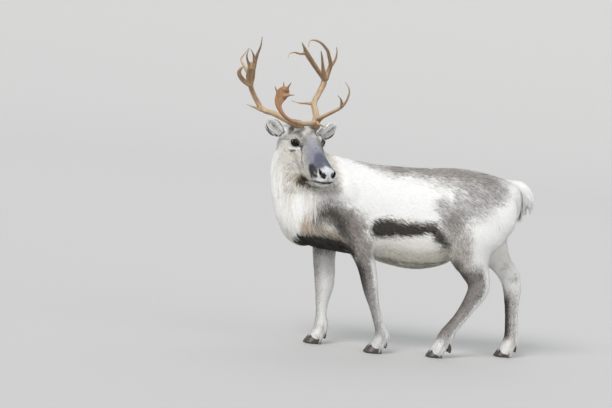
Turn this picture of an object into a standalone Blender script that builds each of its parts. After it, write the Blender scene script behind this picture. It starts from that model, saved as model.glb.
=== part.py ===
"""A standing reindeer cow, life size, still: body in parts, cloven hooves, ears, eyes and split antlers.

Metres, +Z up, the floor at z = 0. The body heads to -X, its left side to -Y, and the head turns left.
"""

import math
import random

import bpy
import bmesh
import numpy as np
from mathutils import Vector
from mathutils.bvhtree import BVHTree

# Driving dimensions
ORIGIN = Vector((-0.145, -0.028, 0.0))  # middle of the whole animal's footprint, from the first sketch point
GAP = 0.0003  # between touching nodes
FORK_GAP = 0.0008  # between the branches of one antler fork
SMALLEST = 0.00002  # edges shorter than this are closed up
FLAT_ENOUGH = math.radians(0.8)  # faces that meet flatter than this are run together
SHARPEST = 3.0  # most times the gap that a sharp corner is moved by
POLL = Vector((-0.583, -0.05, 1.038))  # top of the head, midway between the antlers
HEAD_YAW = math.radians(-75)
HEAD_PITCH = math.radians(37)
HEAD_ROLL = math.radians(6)
EYE_RADIUS = 0.0185
LID_STEPS = 14
LID_SIDES = 5
EYE_PLACE = (0.063, 0.0645, -0.053)  # along the face, to the side, above the face line
BODY_VOXEL = 0.011
HEAD_VOXEL = 0.0055
BODY_TRIANGLES = 3100
HEAD_TRIANGLES = 1700
CORONET = 0.036  # height of the hoof's upper edge
HEAD_BACK = -0.145  # where the head ends behind, along the face
# and below, from the throat to under the jaw
HEAD_UNDER = [(-0.145, -0.215), (-0.040, -0.262), (0.070, -0.285), (0.150, -0.250), (0.500, -0.010)]
HEAD_HALF = 0.099  # and to either side
MANE_DEPTH = 0.020  # how far the locks stand over the core of neck and breast
MANE_TOP = (0.950, 0.850)  # heights between which that depth grows from nothing to the whole
LOCK_SINK = 0.007  # depth of a lock's root in its core
BELLY_CLEAR = 0.380  # height below which only legs reach
KNEE_CUT = (-0.25, 0.0, -1.0)  # way down across knee and hock

# Trunk: x, underside, back, half width, height of the widest level as a share, squareness
TRUNK = [
    (-0.565, 0.535, 0.800, 0.075, 0.50, 2.0),
    (-0.530, 0.490, 0.884, 0.118, 0.50, 2.1),
    (-0.450, 0.470, 0.916, 0.152, 0.48, 2.2),
    (-0.350, 0.461, 0.905, 0.168, 0.46, 2.3),
    (-0.230, 0.448, 0.892, 0.172, 0.46, 2.3),
    (-0.110, 0.420, 0.891, 0.181, 0.45, 2.2),
    (0.000, 0.408, 0.893, 0.192, 0.44, 2.2),
    (0.090, 0.420, 0.899, 0.194, 0.45, 2.2),
    (0.170, 0.448, 0.906, 0.186, 0.50, 2.2),
    (0.260, 0.490, 0.905, 0.176, 0.55, 2.2),
    (0.350, 0.535, 0.892, 0.165, 0.58, 2.2),
    (0.430, 0.585, 0.873, 0.140, 0.60, 2.1),
    (0.490, 0.640, 0.850, 0.095, 0.60, 2.0),
    (0.515, 0.690, 0.815, 0.045, 0.60, 2.0),
]

# Neck: centre x, y, z, half depth, half width
NECK = [
    (-0.270, 0.000, 0.690, 0.205, 0.150),
    (-0.370, 0.002, 0.705, 0.215, 0.150),
    (-0.455, 0.008, 0.735, 0.208, 0.142),
    (-0.520, 0.018, 0.785, 0.185, 0.128),
    (-0.565, 0.032, 0.850, 0.152, 0.114),
    (-0.588, 0.047, 0.915, 0.118, 0.104),
    (-0.598, 0.060, 0.970, 0.094, 0.092),
    (-0.602, 0.057, 1.003, 0.077, 0.073),
    (-0.603, 0.045, 1.028, 0.048, 0.047),
]

# Breast and throat under the mane: centre x, y, z, half depth, half width
BREAST = [
    (-0.600, 0.010, 0.950, 0.090, 0.080),
    (-0.606, 0.006, 0.870, 0.112, 0.095),
    (-0.596, 0.002, 0.780, 0.122, 0.110),
    (-0.580, 0.000, 0.690, 0.118, 0.120),
    (-0.562, 0.000, 0.610, 0.108, 0.120),
    (-0.540, 0.000, 0.545, 0.085, 0.105),
    (-0.505, 0.000, 0.500, 0.045, 0.075),
]

# Tail, in the same way
TAIL = [
    (0.440, 0.0, 0.842, 0.028, 0.033),
    (0.490, 0.0, 0.836, 0.028, 0.034),
    (0.527, 0.0, 0.812, 0.025, 0.031),
    (0.545, 0.0, 0.782, 0.018, 0.022),
    (0.549, 0.0, 0.755, 0.006, 0.007),
]

# Legs: centre x, y, z, half depth fore and aft, half width. Each ends on its hoof's coronet.
FORE_LEFT = [
    (-0.335, -0.085, 0.640, 0.105, 0.070),
    (-0.305, -0.105, 0.555, 0.086, 0.066),
    (-0.274, -0.112, 0.480, 0.063, 0.056),
    (-0.244, -0.112, 0.410, 0.051, 0.045),
    (-0.223, -0.110, 0.345, 0.044, 0.037),
    (-0.206, -0.108, 0.285, 0.037, 0.034),
    (-0.184, -0.106, 0.225, 0.029, 0.026),
    (-0.158, -0.104, 0.155, 0.027, 0.023),
    (-0.134, -0.102, 0.100, 0.032, 0.030),
    (-0.143, -0.102, 0.064, 0.029, 0.034),
    (-0.157, -0.102, 0.032, 0.032, 0.040),
    (-0.165, -0.102, 0.010, 0.032, 0.040),
]
FORE_RIGHT = [
    (-0.400, 0.085, 0.640, 0.105, 0.070),
    (-0.398, 0.105, 0.555, 0.088, 0.066),
    (-0.395, 0.112, 0.470, 0.068, 0.056),
    (-0.390, 0.112, 0.400, 0.059, 0.048),
    (-0.381, 0.110, 0.335, 0.054, 0.041),
    (-0.377, 0.108, 0.275, 0.049, 0.038),
    (-0.380, 0.106, 0.210, 0.037, 0.029),
    (-0.379, 0.104, 0.150, 0.030, 0.025),
    (-0.377, 0.102, 0.100, 0.033, 0.030),
    (-0.386, 0.102, 0.064, 0.029, 0.034),
    (-0.398, 0.102, 0.032, 0.032, 0.040),
    (-0.406, 0.102, 0.010, 0.032, 0.040),
]
HIND_LEFT = [
    (0.335, -0.080, 0.770, 0.130, 0.075),
    (0.295, -0.098, 0.680, 0.168, 0.085),
    (0.265, -0.108, 0.590, 0.162, 0.083),
    (0.262, -0.112, 0.510, 0.122, 0.068),
    (0.288, -0.112, 0.435, 0.081, 0.052),
    (0.315, -0.112, 0.378, 0.062, 0.039),
    (0.318, -0.110, 0.332, 0.056, 0.035),
    (0.286, -0.108, 0.265, 0.043, 0.029),
    (0.240, -0.107, 0.190, 0.035, 0.026),
    (0.184, -0.106, 0.112, 0.036, 0.030),
    (0.162, -0.106, 0.070, 0.031, 0.034),
    (0.147, -0.106, 0.034, 0.033, 0.040),
    (0.139, -0.106, 0.010, 0.033, 0.040),
]
HIND_RIGHT = [
    (0.350, 0.080, 0.770, 0.135, 0.075),
    (0.375, 0.098, 0.680, 0.166, 0.085),
    (0.400, 0.106, 0.590, 0.135, 0.080),
    (0.443, 0.110, 0.515, 0.090, 0.064),
    (0.500, 0.110, 0.445, 0.060, 0.048),
    (0.545, 0.110, 0.392, 0.056, 0.038),
    (0.562, 0.108, 0.345, 0.051, 0.035),
    (0.568, 0.106, 0.285, 0.043, 0.030),
    (0.575, 0.105, 0.200, 0.036, 0.027),
    (0.583, 0.104, 0.112, 0.037, 0.030),
    (0.572, 0.104, 0.070, 0.032, 0.034),
    (0.558, 0.104, 0.034, 0.033, 0.040),
    (0.550, 0.104, 0.010, 0.033, 0.040),
]
LEGS = {"fore_left": FORE_LEFT, "fore_right": FORE_RIGHT, "hind_left": HIND_LEFT, "hind_right": HIND_RIGHT}

# Head, across the face line: place along it, top, bottom, half widths at the top, the brow and the jaw
HEAD = [
    (-0.115, -0.085, -0.200, 0.045, 0.068, 0.045),
    (-0.080, -0.050, -0.225, 0.055, 0.078, 0.055),
    (-0.040, -0.030, -0.248, 0.058, 0.080, 0.062),
    (0.000, -0.017, -0.262, 0.058, 0.081, 0.067),
    (0.040, -0.010, -0.268, 0.058, 0.085, 0.070),
    (0.070, -0.010, -0.267, 0.055, 0.084, 0.070),
    (0.110, -0.015, -0.256, 0.049, 0.074, 0.066),
    (0.150, -0.018, -0.237, 0.046, 0.065, 0.059),
    (0.200, -0.017, -0.202, 0.044, 0.058, 0.049),
    (0.250, -0.015, -0.163, 0.043, 0.054, 0.038),
    (0.285, -0.014, -0.134, 0.040, 0.050, 0.031),
    (0.310, -0.020, -0.110, 0.032, 0.042, 0.025),
    (0.326, -0.034, -0.090, 0.018, 0.027, 0.014),
]
# Rounded masses of the head: place, half lengths along, across and above (each on both sides)
HEAD_MASSES = [
    ((0.060, 0.066, -0.034), (0.036, 0.020, 0.022)),  # brow over the eye
    ((0.075, 0.060, -0.082), (0.040, 0.022, 0.022)),  # cheekbone under the eye
    ((0.020, 0.045, -0.140), (0.060, 0.030, 0.060)),  # chewing muscle
    ((0.296, 0.026, -0.036), (0.028, 0.019, 0.020)),  # nostril wing
    ((0.304, 0.020, -0.062), (0.026, 0.024, 0.018)),  # upper lip
    ((0.282, 0.012, -0.104), (0.026, 0.018, 0.014)),  # lower lip
]
PEDICLE = ((-0.010, 0.040, -0.020), (-0.016, 0.050, 0.014), 0.020)  # foot, head, radius


def unit(vector):
    return Vector(vector).normalized()


FORWARD = Vector((math.cos(HEAD_YAW), math.sin(HEAD_YAW), 0.0))
LEVEL_LEFT = Vector((-math.sin(HEAD_YAW), math.cos(HEAD_YAW), 0.0))
UP = Vector((0.0, 0.0, 1.0))
FACE = FORWARD * math.cos(HEAD_PITCH) - UP * math.sin(HEAD_PITCH)
CROWN_LEVEL = FORWARD * math.sin(HEAD_PITCH) + UP * math.cos(HEAD_PITCH)
LEFT = LEVEL_LEFT * math.cos(HEAD_ROLL) + CROWN_LEVEL * math.sin(HEAD_ROLL)
CROWN = CROWN_LEVEL * math.cos(HEAD_ROLL) - LEVEL_LEFT * math.sin(HEAD_ROLL)


def on_head(point):
    """A place given along the face, to the left and above the face line."""
    along, left, above = point
    return POLL + FACE * along + LEFT * left + CROWN * above


def over_head(point):
    """A place given level: forward, left and up from the top of the head."""
    forward, left, up = point
    return POLL + FORWARD * forward + LEVEL_LEFT * left + UP * up


def clear_scene():
    for old in list(bpy.data.objects):
        bpy.data.objects.remove(old, do_unlink=True)


def make_material(name, colour, roughness):
    material = bpy.data.materials.new(name)
    material.use_nodes = True
    shader = material.node_tree.nodes["Principled BSDF"]
    shader.inputs["Base Color"].default_value = (*colour, 1.0)
    shader.inputs["Roughness"].default_value = roughness
    shader.inputs["Metallic"].default_value = 0.0
    return material


def curve_through(rows, steps):
    """Rows of numbers joined by a smooth curve, with this many steps from each row to the next."""
    rows = np.array(rows, dtype=float)
    padded = np.vstack([2 * rows[0] - rows[1], rows, 2 * rows[-1] - rows[-2]])
    found = []
    for i in range(1, len(padded) - 2):
        before, start, end, after = padded[i - 1 : i + 3]
        for t in np.arange(steps) / steps:
            found.append(
                0.5
                * (
                    2 * start
                    + (end - before) * t
                    + (2 * before - 5 * start + 4 * end - after) * t**2
                    + (3 * start - before - 3 * end + after) * t**3
                )
            )
    found.append(padded[-2])
    return np.array(found)


def new_object(name, vertices, faces):
    mesh = bpy.data.meshes.new(name)
    mesh.from_pydata([tuple(v) for v in vertices], [], faces)
    mesh.update()
    made = bpy.data.objects.new(name, mesh)
    bpy.context.scene.collection.objects.link(made)
    return made


def face_outwards(made):
    shape = bmesh.new()
    shape.from_mesh(made.data)
    bmesh.ops.triangulate(shape, faces=shape.faces)
    bmesh.ops.recalc_face_normals(shape, faces=shape.faces)
    if shape.calc_volume(signed=True) < 0:
        bmesh.ops.reverse_faces(shape, faces=shape.faces)
    shape.to_mesh(made.data)
    shape.free()
    return made


def skin_rings(name, rings):
    """One closed tube through rings of equal length, each end closed on its ring's middle."""
    count = len(rings[0])
    vertices = [v for ring in rings for v in ring]
    faces = []
    for i in range(len(rings) - 1):
        for j in range(count):
            k = (j + 1) % count
            a, b = i * count, (i + 1) * count
            faces.append((a + j, a + k, b + k, b + j))
    for ring, start in ((rings[0], 0), (rings[-1], (len(rings) - 1) * count)):
        vertices.append(sum((Vector(v) for v in ring), Vector()) / count)
        middle = len(vertices) - 1
        for j in range(count):
            faces.append((middle, start + j, start + (j + 1) % count))
    return face_outwards(new_object(name, vertices, faces))


def bulge(value, squareness):
    return math.copysign(abs(value) ** (2 / squareness), value)


def trunk_rings(rows, steps, sides):
    rings = []
    for x, low, high, half, level, square in curve_through(rows, steps):
        middle = low + (high - low) * level
        ring = []
        for j in range(sides):
            turn = 2 * math.pi * j / sides
            across = half * bulge(math.cos(turn), square)
            reach = (high - middle) if math.sin(turn) > 0 else (middle - low)
            ring.append(Vector((x, across, middle + reach * bulge(math.sin(turn), square))))
        rings.append(ring)
    return rings


def limb_rings(rows, steps, sides):
    """Ovals across a path: half depth in the body's length, half width across it."""
    path = curve_through(rows, steps)
    rings = []
    for i, (x, y, z, deep, wide) in enumerate(path):
        along = unit(path[min(i + 1, len(path) - 1)][:3] - path[max(i - 1, 0)][:3])
        front = unit(Vector((0, 1, 0)).cross(along))
        side = along.cross(front)
        ring = []
        for j in range(sides):
            turn = 2 * math.pi * j / sides
            ring.append(Vector((x, y, z)) + front * deep * math.cos(turn) + side * wide * math.sin(turn))
        rings.append(ring)
    return rings


def head_rings(rows, steps, sides):
    rings = []
    for along, top, bottom, at_top, at_brow, at_jaw in curve_through(rows, steps):
        brow = top + (bottom - top) * 0.31
        ring = []
        for j in range(sides):
            turn = 2 * math.pi * j / sides
            rise = math.sin(turn)
            edge = at_top if rise > 0 else at_jaw
            half = at_brow + (edge - at_brow) * abs(rise) ** 1.5
            reach = (top - brow) if rise > 0 else (brow - bottom)
            ring.append(on_head((along, half * bulge(math.cos(turn), 2.4), brow + reach * bulge(rise, 2.3))))
        rings.append(ring)
    return rings


def egg(name, middle, axes, rings=10, sides=16):
    """A closed egg: its middle and three half axes as vectors."""
    made_rings = []
    for i in range(1, rings):
        lift = math.pi * i / rings
        ring = []
        for j in range(sides):
            turn = 2 * math.pi * j / sides
            flat = axes[0] * math.cos(turn) + axes[1] * math.sin(turn)
            ring.append(middle + axes[2] * math.cos(lift) + flat * math.sin(lift))
        made_rings.append(ring)
    return skin_rings(name, made_rings)


def head_egg(name, place, halves):
    return egg(name, on_head(place), (FACE * halves[0], LEFT * halves[1], CROWN * halves[2]))


def mirrored(place, side):
    return (place[0], place[1] * side, place[2])


def apply_modifiers(made):
    graph = bpy.context.evaluated_depsgraph_get()
    mesh = bpy.data.meshes.new_from_object(made.evaluated_get(graph))
    made.modifiers.clear()
    old = made.data
    made.data = mesh
    bpy.data.meshes.remove(old)
    return made


def triangle_count(made):
    return sum(len(face.vertices) - 2 for face in made.data.polygons)


def melt(name, pieces, voxel, triangles, rounds):
    """Pieces run together into one smooth closed surface of about this many triangles."""
    joined = bmesh.new()
    for piece in pieces:
        joined.from_mesh(piece.data)
        bpy.data.objects.remove(piece)
    mesh = bpy.data.meshes.new(name)
    joined.to_mesh(mesh)
    joined.free()
    made = bpy.data.objects.new(name, mesh)
    bpy.context.scene.collection.objects.link(made)
    remesh = made.modifiers.new("remesh", "REMESH")
    remesh.mode = "VOXEL"
    remesh.voxel_size = voxel
    smooth = made.modifiers.new("smooth", "SMOOTH")
    smooth.factor = 0.5
    smooth.iterations = rounds
    apply_modifiers(made)
    thin = made.modifiers.new("thin", "DECIMATE")
    thin.ratio = min(1.0, triangles / triangle_count(made))
    thin.use_collapse_triangulate = True
    return apply_modifiers(made)


def copy_of(made, name):
    copied = bpy.data.objects.new(name, made.data.copy())
    bpy.context.scene.collection.objects.link(copied)
    return copied


def without_slivers(shape):
    """A copy with the thinnest faces closed up and flat ones run together, where it stays closed."""
    for shortest in (SMALLEST, SMALLEST / 4, SMALLEST / 16):
        for flat in (FLAT_ENOUGH, FLAT_ENOUGH / 4, 0.0):
            cleaned = shape.copy()
            bmesh.ops.remove_doubles(cleaned, verts=cleaned.verts, dist=shortest)
            bmesh.ops.dissolve_degenerate(cleaned, edges=cleaned.edges, dist=shortest)
            if flat > 0:
                bmesh.ops.dissolve_limit(cleaned, angle_limit=flat, verts=cleaned.verts, edges=cleaned.edges)
            bmesh.ops.triangulate(cleaned, faces=cleaned.faces)
            if all(len(edge.link_faces) == 2 for edge in cleaned.edges):
                return cleaned
            cleaned.free()
    return shape.copy()


def largest_surface(made):
    """Keeps the largest closed surface and drops loose scraps."""
    shape = bmesh.new()
    shape.from_mesh(made.data)
    shape.verts.ensure_lookup_table()
    left = set(shape.verts)
    groups = []
    while left:
        group = []
        stack = [left.pop()]
        while stack:
            vertex = stack.pop()
            group.append(vertex)
            for edge in vertex.link_edges:
                other = edge.other_vert(vertex)
                if other in left:
                    left.remove(other)
                    stack.append(other)
        groups.append(group)
    groups.sort(key=len)
    for group in groups[:-1]:
        bmesh.ops.delete(shape, geom=group, context="VERTS")
    bmesh.ops.triangulate(shape, faces=shape.faces)
    cleaned = without_slivers(shape)
    cleaned.to_mesh(made.data)
    cleaned.free()
    shape.free()
    return made


def combine(made, others, operation, solver="EXACT"):
    """A Boolean of one object with others, which are used up."""
    helpers = bpy.data.collections.new("helpers")
    bpy.context.scene.collection.children.link(helpers)
    for other in others:
        for home in list(other.users_collection):
            home.objects.unlink(other)
        helpers.objects.link(other)
    step = made.modifiers.new("step", "BOOLEAN")
    step.operation = operation
    step.operand_type = "COLLECTION"
    step.collection = helpers
    step.solver = solver
    apply_modifiers(made)
    for other in list(helpers.objects):
        bpy.data.objects.remove(other)
    bpy.data.collections.remove(helpers)
    return largest_surface(made)


def grown(made, amount=GAP):
    """A copy a little larger all round, also over its sharp edges, which cuts a neighbour clear of it."""
    copied = copy_of(made, made.name + "_grown")
    shape = bmesh.new()
    shape.from_mesh(copied.data)
    shape.normal_update()
    moves = [v.normal * amount * min(v.calc_shell_factor(), SHARPEST) for v in shape.verts]
    for vertex, move in zip(shape.verts, moves):
        vertex.co += move
    shape.to_mesh(copied.data)
    shape.free()
    return copied


def cut_clear(made, neighbours):
    """Cuts a piece clear of its neighbours, each by its own gap."""
    for neighbour, amount in neighbours.items():
        combine(made, [grown(neighbour, amount)], "DIFFERENCE", "MANIFOLD")
    return made


def boxed(name, corners):
    """Six faces round four lower and four upper corners."""
    faces = [(3, 2, 1, 0), (4, 5, 6, 7), (0, 1, 5, 4), (1, 2, 6, 5), (2, 3, 7, 6), (3, 0, 4, 7)]
    return face_outwards(new_object(name, corners, faces))


def block(low, high):
    corners = [Vector((x, y, z)) for z in (low[2], high[2]) for x, y in
               ((low[0], low[1]), (high[0], low[1]), (high[0], high[1]), (low[0], high[1]))]
    return boxed("block", corners)


def leg_block(zone, gap):
    """A leg's zone, a little larger by the gap: narrow beside the belly and wide below it."""
    back, front, inner, outer, top, low_back, low_front = zone
    narrow = block((back - gap, inner - gap, BELLY_CLEAR - 0.020), (front + gap, outer + gap, top + gap))
    wide = block((low_back - gap, inner - gap, -0.10), (low_front + gap, outer + gap, BELLY_CLEAR + gap))
    return combine(narrow, [wide], "UNION", "MANIFOLD")


def head_zone(gap):
    """The block, in the head's own directions, that the head is parted from the neck by."""
    profile = [(along - gap, above - gap) for along, above in HEAD_UNDER] + [(0.5, 0.5), (HEAD_BACK - gap, 0.5)]
    half = HEAD_HALF + gap
    sides = [[on_head((along, left, above)) for along, above in profile] for left in (-half, half)]
    return skin_rings("head_zone", sides)


def trim(made, point, normal):
    """Cuts away what lies on the side of a plane that its normal points to, and closes the cut."""
    shape = bmesh.new()
    shape.from_mesh(made.data)
    everything = shape.verts[:] + shape.edges[:] + shape.faces[:]
    cut = bmesh.ops.bisect_plane(
        shape, geom=everything, dist=1e-6, plane_co=point, plane_no=unit(normal), clear_outer=True
    )
    edges = [e for e in cut["geom_cut"] if isinstance(e, bmesh.types.BMEdge)]
    bmesh.ops.triangle_fill(shape, use_beauty=True, edges=edges, normal=unit(normal))
    bmesh.ops.remove_doubles(shape, verts=shape.verts, dist=1e-6)
    bmesh.ops.triangulate(shape, faces=[f for f in shape.faces if len(f.verts) > 3])
    bmesh.ops.recalc_face_normals(shape, faces=shape.faces)
    shape.to_mesh(made.data)
    shape.free()
    return made


def split(made, name_above, point, normal):
    """Parts an object in two by a thin cut: the far part takes the new name."""
    far = copy_of(made, name_above)
    normal = unit(normal)
    trim(far, Vector(point) + normal * GAP / 2, -normal)
    trim(made, Vector(point) - normal * GAP / 2, normal)
    return far


def branch(name, route, steps=3, sides=8, flat=None):
    """An antler length: each point gives its place over the head, half width and half thickness.

    The flat direction is the way a palm's width runs; without it the length is round.
    """
    path = curve_through(route, steps)
    points = [over_head(p[:3]) for p in path]
    rings = []
    side = None
    for i, (place, row) in enumerate(zip(points, path)):
        along = unit(points[min(i + 1, len(points) - 1)] - points[max(i - 1, 0)])
        if flat is not None:
            side = unit(flat - along * along.dot(flat))
        elif side is None:
            side = along.orthogonal().normalized()
        else:
            side = unit(side - along * along.dot(side))
        other = along.cross(side)
        wide, thick = row[3], row[4]
        ring = []
        for j in range(sides):
            turn = 2 * math.pi * j / sides
            ring.append(place + side * wide * math.cos(turn) + other * thick * math.sin(turn))
        rings.append(ring)
    return skin_rings(name, rings)


def round_route(points, thickness):
    """A round route: places, with radii that go evenly from the first value to the last."""
    count = len(points) - 1
    rows = []
    for i, point in enumerate(points):
        radius = thickness[0] + (thickness[1] - thickness[0]) * i / count
        rows.append((*point, radius, radius))
    return rows


PALM_WIDE = Vector((0.966, -0.259, 0.0))  # palms spread across this way

# Antlers: places over the head as forward, left, up; half width and half thickness follow where given
LEFT_BEAM = [(-0.004, 0.042, -0.006), (-0.012, 0.050, 0.016), (-0.045, 0.069, 0.038), (-0.090, 0.087, 0.060),
             (-0.160, 0.115, 0.099), (-0.205, 0.160, 0.142), (-0.220, 0.190, 0.190), (-0.215, 0.189, 0.222)]
LEFT_BACK = [(-0.150, 0.110, 0.094), (-0.190, 0.100, 0.093), (-0.230, 0.079, 0.090), (-0.270, 0.048, 0.097)]
LEFT_INNER = [(-0.215, 0.190, 0.212, 0.012, 0.012), (-0.210, 0.160, 0.237, 0.011, 0.010),
              (-0.190, 0.107, 0.281, 0.013, 0.008), (-0.165, 0.052, 0.326, 0.014, 0.006),
              (-0.140, 0.021, 0.353, 0.008, 0.005), (-0.120, -0.009, 0.379, 0.003, 0.002)]
LEFT_CURL = [(-0.164, 0.050, 0.330), (-0.150, 0.005, 0.324), (-0.130, -0.035, 0.328), (-0.103, -0.078, 0.320),
             (-0.090, -0.090, 0.296)]
LEFT_MIDDLE = [(-0.215, 0.188, 0.216), (-0.170, 0.147, 0.276), (-0.130, 0.114, 0.319), (-0.100, 0.088, 0.348)]
LEFT_OUTER = [(-0.215, 0.191, 0.214), (-0.210, 0.202, 0.250), (-0.190, 0.200, 0.286), (-0.160, 0.170, 0.324),
              (-0.130, 0.138, 0.354), (-0.090, 0.078, 0.385), (-0.060, 0.021, 0.396), (-0.045, -0.010, 0.388),
              (-0.035, -0.018, 0.360)]
LEFT_TIP = [(-0.192, 0.200, 0.280), (-0.188, 0.214, 0.296), (-0.180, 0.220, 0.320), (-0.170, 0.216, 0.349),
            (-0.160, 0.205, 0.373)]
LEFT_BEZ = [(-0.020, 0.056, 0.022), (0.015, 0.052, 0.034), (0.050, 0.055, 0.050), (0.100, 0.071, 0.075),
            (0.140, 0.083, 0.097), (0.163, 0.090, 0.118), (0.184, 0.091, 0.145), (0.200, 0.088, 0.177),
            (0.208, 0.075, 0.200), (0.200, 0.059, 0.222)]
LEFT_BEZ_FORK = [(0.150, 0.086, 0.105), (0.170, 0.066, 0.136), (0.190, 0.033, 0.158)]
LEFT_SPIKE = [(0.000, 0.040, 0.012), (0.030, 0.051, 0.006), (0.046, 0.072, -0.002)]
LEFT_BROW = [(-0.010, 0.046, 0.010, 0.013, 0.013), (0.025, 0.014, 0.010, 0.012, 0.013),
             (0.062, -0.034, 0.009, 0.011, 0.012), (0.092, -0.092, 0.008, 0.010, 0.011),
             (0.110, -0.134, 0.013, 0.010, 0.010), (0.120, -0.184, 0.030, 0.009, 0.009),
             (0.120, -0.213, 0.055, 0.010, 0.008), (0.112, -0.226, 0.081, 0.014, 0.007),
             (0.111, -0.226, 0.109, 0.023, 0.006), (0.120, -0.217, 0.138, 0.029, 0.005),
             (0.127, -0.212, 0.160, 0.025, 0.004), (0.131, -0.210, 0.174, 0.010, 0.002)]
BROW_TIPS = [
    [(0.108, -0.226, 0.128), (0.103, -0.240, 0.150), (0.100, -0.252, 0.172)],
    [(0.122, -0.213, 0.155), (0.121, -0.216, 0.176), (0.120, -0.219, 0.197)],
    [(0.130, -0.208, 0.155), (0.144, -0.203, 0.176), (0.160, -0.199, 0.197)],
    [(0.122, -0.210, 0.128), (0.142, -0.192, 0.136), (0.160, -0.175, 0.139)],
]
RIGHT_BEAM = [(-0.004, -0.042, -0.008), (-0.010, -0.050, 0.010), (-0.050, -0.066, 0.022), (-0.110, -0.080, 0.029),
              (-0.170, -0.098, 0.035), (-0.210, -0.115, 0.040), (-0.230, -0.130, 0.054), (-0.240, -0.147, 0.080),
              (-0.238, -0.168, 0.107), (-0.230, -0.189, 0.134), (-0.221, -0.203, 0.156)]
RIGHT_BACK = [(-0.222, -0.130, 0.046), (-0.270, -0.134, 0.048), (-0.300, -0.139, 0.052), (-0.330, -0.156, 0.060)]
RIGHT_PALM = [(-0.222, -0.201, 0.150, 0.013, 0.012), (-0.216, -0.208, 0.166, 0.017, 0.010),
              (-0.200, -0.219, 0.193, 0.022, 0.007), (-0.180, -0.229, 0.226, 0.021, 0.006),
              (-0.165, -0.236, 0.252, 0.018, 0.005), (-0.158, -0.238, 0.266, 0.006, 0.003)]
RIGHT_LOBE = [(-0.219, -0.208, 0.152, 0.010, 0.009), (-0.220, -0.243, 0.173, 0.013, 0.006),
              (-0.211, -0.270, 0.195, 0.012, 0.006), (-0.200, -0.281, 0.214, 0.010, 0.006),
              (-0.182, -0.279, 0.234, 0.006, 0.005), (-0.170, -0.273, 0.248, 0.002, 0.002)]
RIGHT_TOP = [(-0.168, -0.229, 0.236), (-0.140, -0.234, 0.276), (-0.110, -0.241, 0.310), (-0.070, -0.252, 0.344),
             (-0.030, -0.271, 0.388)]
RIGHT_TINES = [
    [(-0.180, -0.234, 0.232), (-0.160, -0.266, 0.272), (-0.130, -0.287, 0.296), (-0.100, -0.295, 0.330)],
    [(-0.142, -0.236, 0.270), (-0.122, -0.259, 0.302), (-0.100, -0.289, 0.326)],
    [(-0.200, -0.228, 0.205), (-0.240, -0.244, 0.249), (-0.260, -0.246, 0.271), (-0.258, -0.231, 0.297),
     (-0.240, -0.222, 0.327)],
]


# Locks: length, width, thickness and rise over the core, and where they grow
MANE_LOCK = (0.125, 0.070, 0.013, 0.019)
MANE_ROWS = (0.925, 0.835, 0.745, 0.655, 0.570)
MANE_ROUND = 8
MANE_REACH = 118  # degrees round the neck to either side of its front
BRISKET_LOCK = (0.100, 0.066, 0.013, 0.022)
BRISKET_FRONT = [(x, y) for x in (-0.590, -0.540) for y in (-0.045, 0.0, 0.045)]
BRISKET_BACK = [(x, y) for x in (-0.470, -0.415, -0.360) for y in (-0.035, 0.035)]
BELLY_LOCK = (0.120, 0.070, 0.012, 0.015)
BELLY = [(x, y) for x in (-0.170, -0.110, -0.050, 0.010, 0.070) for y in (-0.030, 0.030)]
TAIL_LOCK = (0.095, 0.042, 0.012, 0.008)
TAIL_ROWS = ((0.25, 5), (0.60, 5))


def build_antlers(bone):
    """Each antler is parted at its main forks; palms and their short tines are fused."""
    parts = {}
    burr = [0.0235, 0.0215, 0.0165, 0.0150, 0.0140, 0.0135, 0.0145, 0.0130]
    left_beam = branch("antler_left_beam", [(*p, r, r) for p, r in zip(LEFT_BEAM, burr)], 2, 8)
    parts["antler_left_beam"] = left_beam
    burr = [0.0225, 0.0205, 0.0160, 0.0145, 0.0135, 0.0130, 0.0130, 0.0125, 0.0120, 0.0120, 0.0125]
    right_beam = branch("antler_right_beam", [(*p, r, r) for p, r in zip(RIGHT_BEAM, burr)], 2, 8)
    parts["antler_right_beam"] = right_beam

    def tine(name, route, twigs=(), flat=None, steps=2, sides=6):
        made = branch(name, route, steps, sides, flat)
        if twigs:
            combine(made, twigs, "UNION")
        parts[name] = made
        return made

    def twig(route, sides=5):
        return branch("twig", route, 1, sides)

    tine("antler_left_back_tine", round_route(LEFT_BACK, (0.0085, 0.0025)))
    inner = tine("antler_left_inner", LEFT_INNER, [twig(round_route(LEFT_CURL, (0.006, 0.002)))], PALM_WIDE)
    middle = tine("antler_left_middle", round_route(LEFT_MIDDLE, (0.0105, 0.003)))
    outer = tine("antler_left_outer", round_route(LEFT_OUTER, (0.0125, 0.0028)),
                 [twig(round_route(LEFT_TIP, (0.0085, 0.0025)))])
    cut_clear(outer, {inner: FORK_GAP, middle: FORK_GAP})
    cut_clear(middle, {inner: FORK_GAP})
    bez = tine("antler_left_bez", round_route(LEFT_BEZ, (0.0115, 0.0028)),
               [twig(round_route(LEFT_BEZ_FORK, (0.0065, 0.0022)))])
    fringe = [twig(round_route(tip, (0.0075, 0.0025)), 5) for tip in BROW_TIPS]
    fringe.append(twig(round_route(LEFT_SPIKE, (0.0095, 0.0025))))
    brow = tine("antler_left_brow", LEFT_BROW, fringe, PALM_WIDE, 1, 8)
    cut_clear(brow, {bez: FORK_GAP})
    tine("antler_right_back_tine", round_route(RIGHT_BACK, (0.0090, 0.0025)))
    fringe = [twig(round_route(RIGHT_TOP, (0.0110, 0.0025)))]
    fringe += [twig(round_route(route, (0.0070, 0.0022))) for route in RIGHT_TINES]
    fringe.append(branch("twig", RIGHT_LOBE, 1, 6, PALM_WIDE))
    tine("antler_right_palm", RIGHT_PALM, fringe, PALM_WIDE, 1, 8)
    for name, made in parts.items():
        if not name.endswith("beam"):
            cut_clear(made, {left_beam if "left" in name else right_beam: GAP})
    cut_clear(brow, {right_beam: GAP})
    for made in parts.values():
        made.data.materials.clear()
        made.data.materials.append(bone)
    return parts


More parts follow.
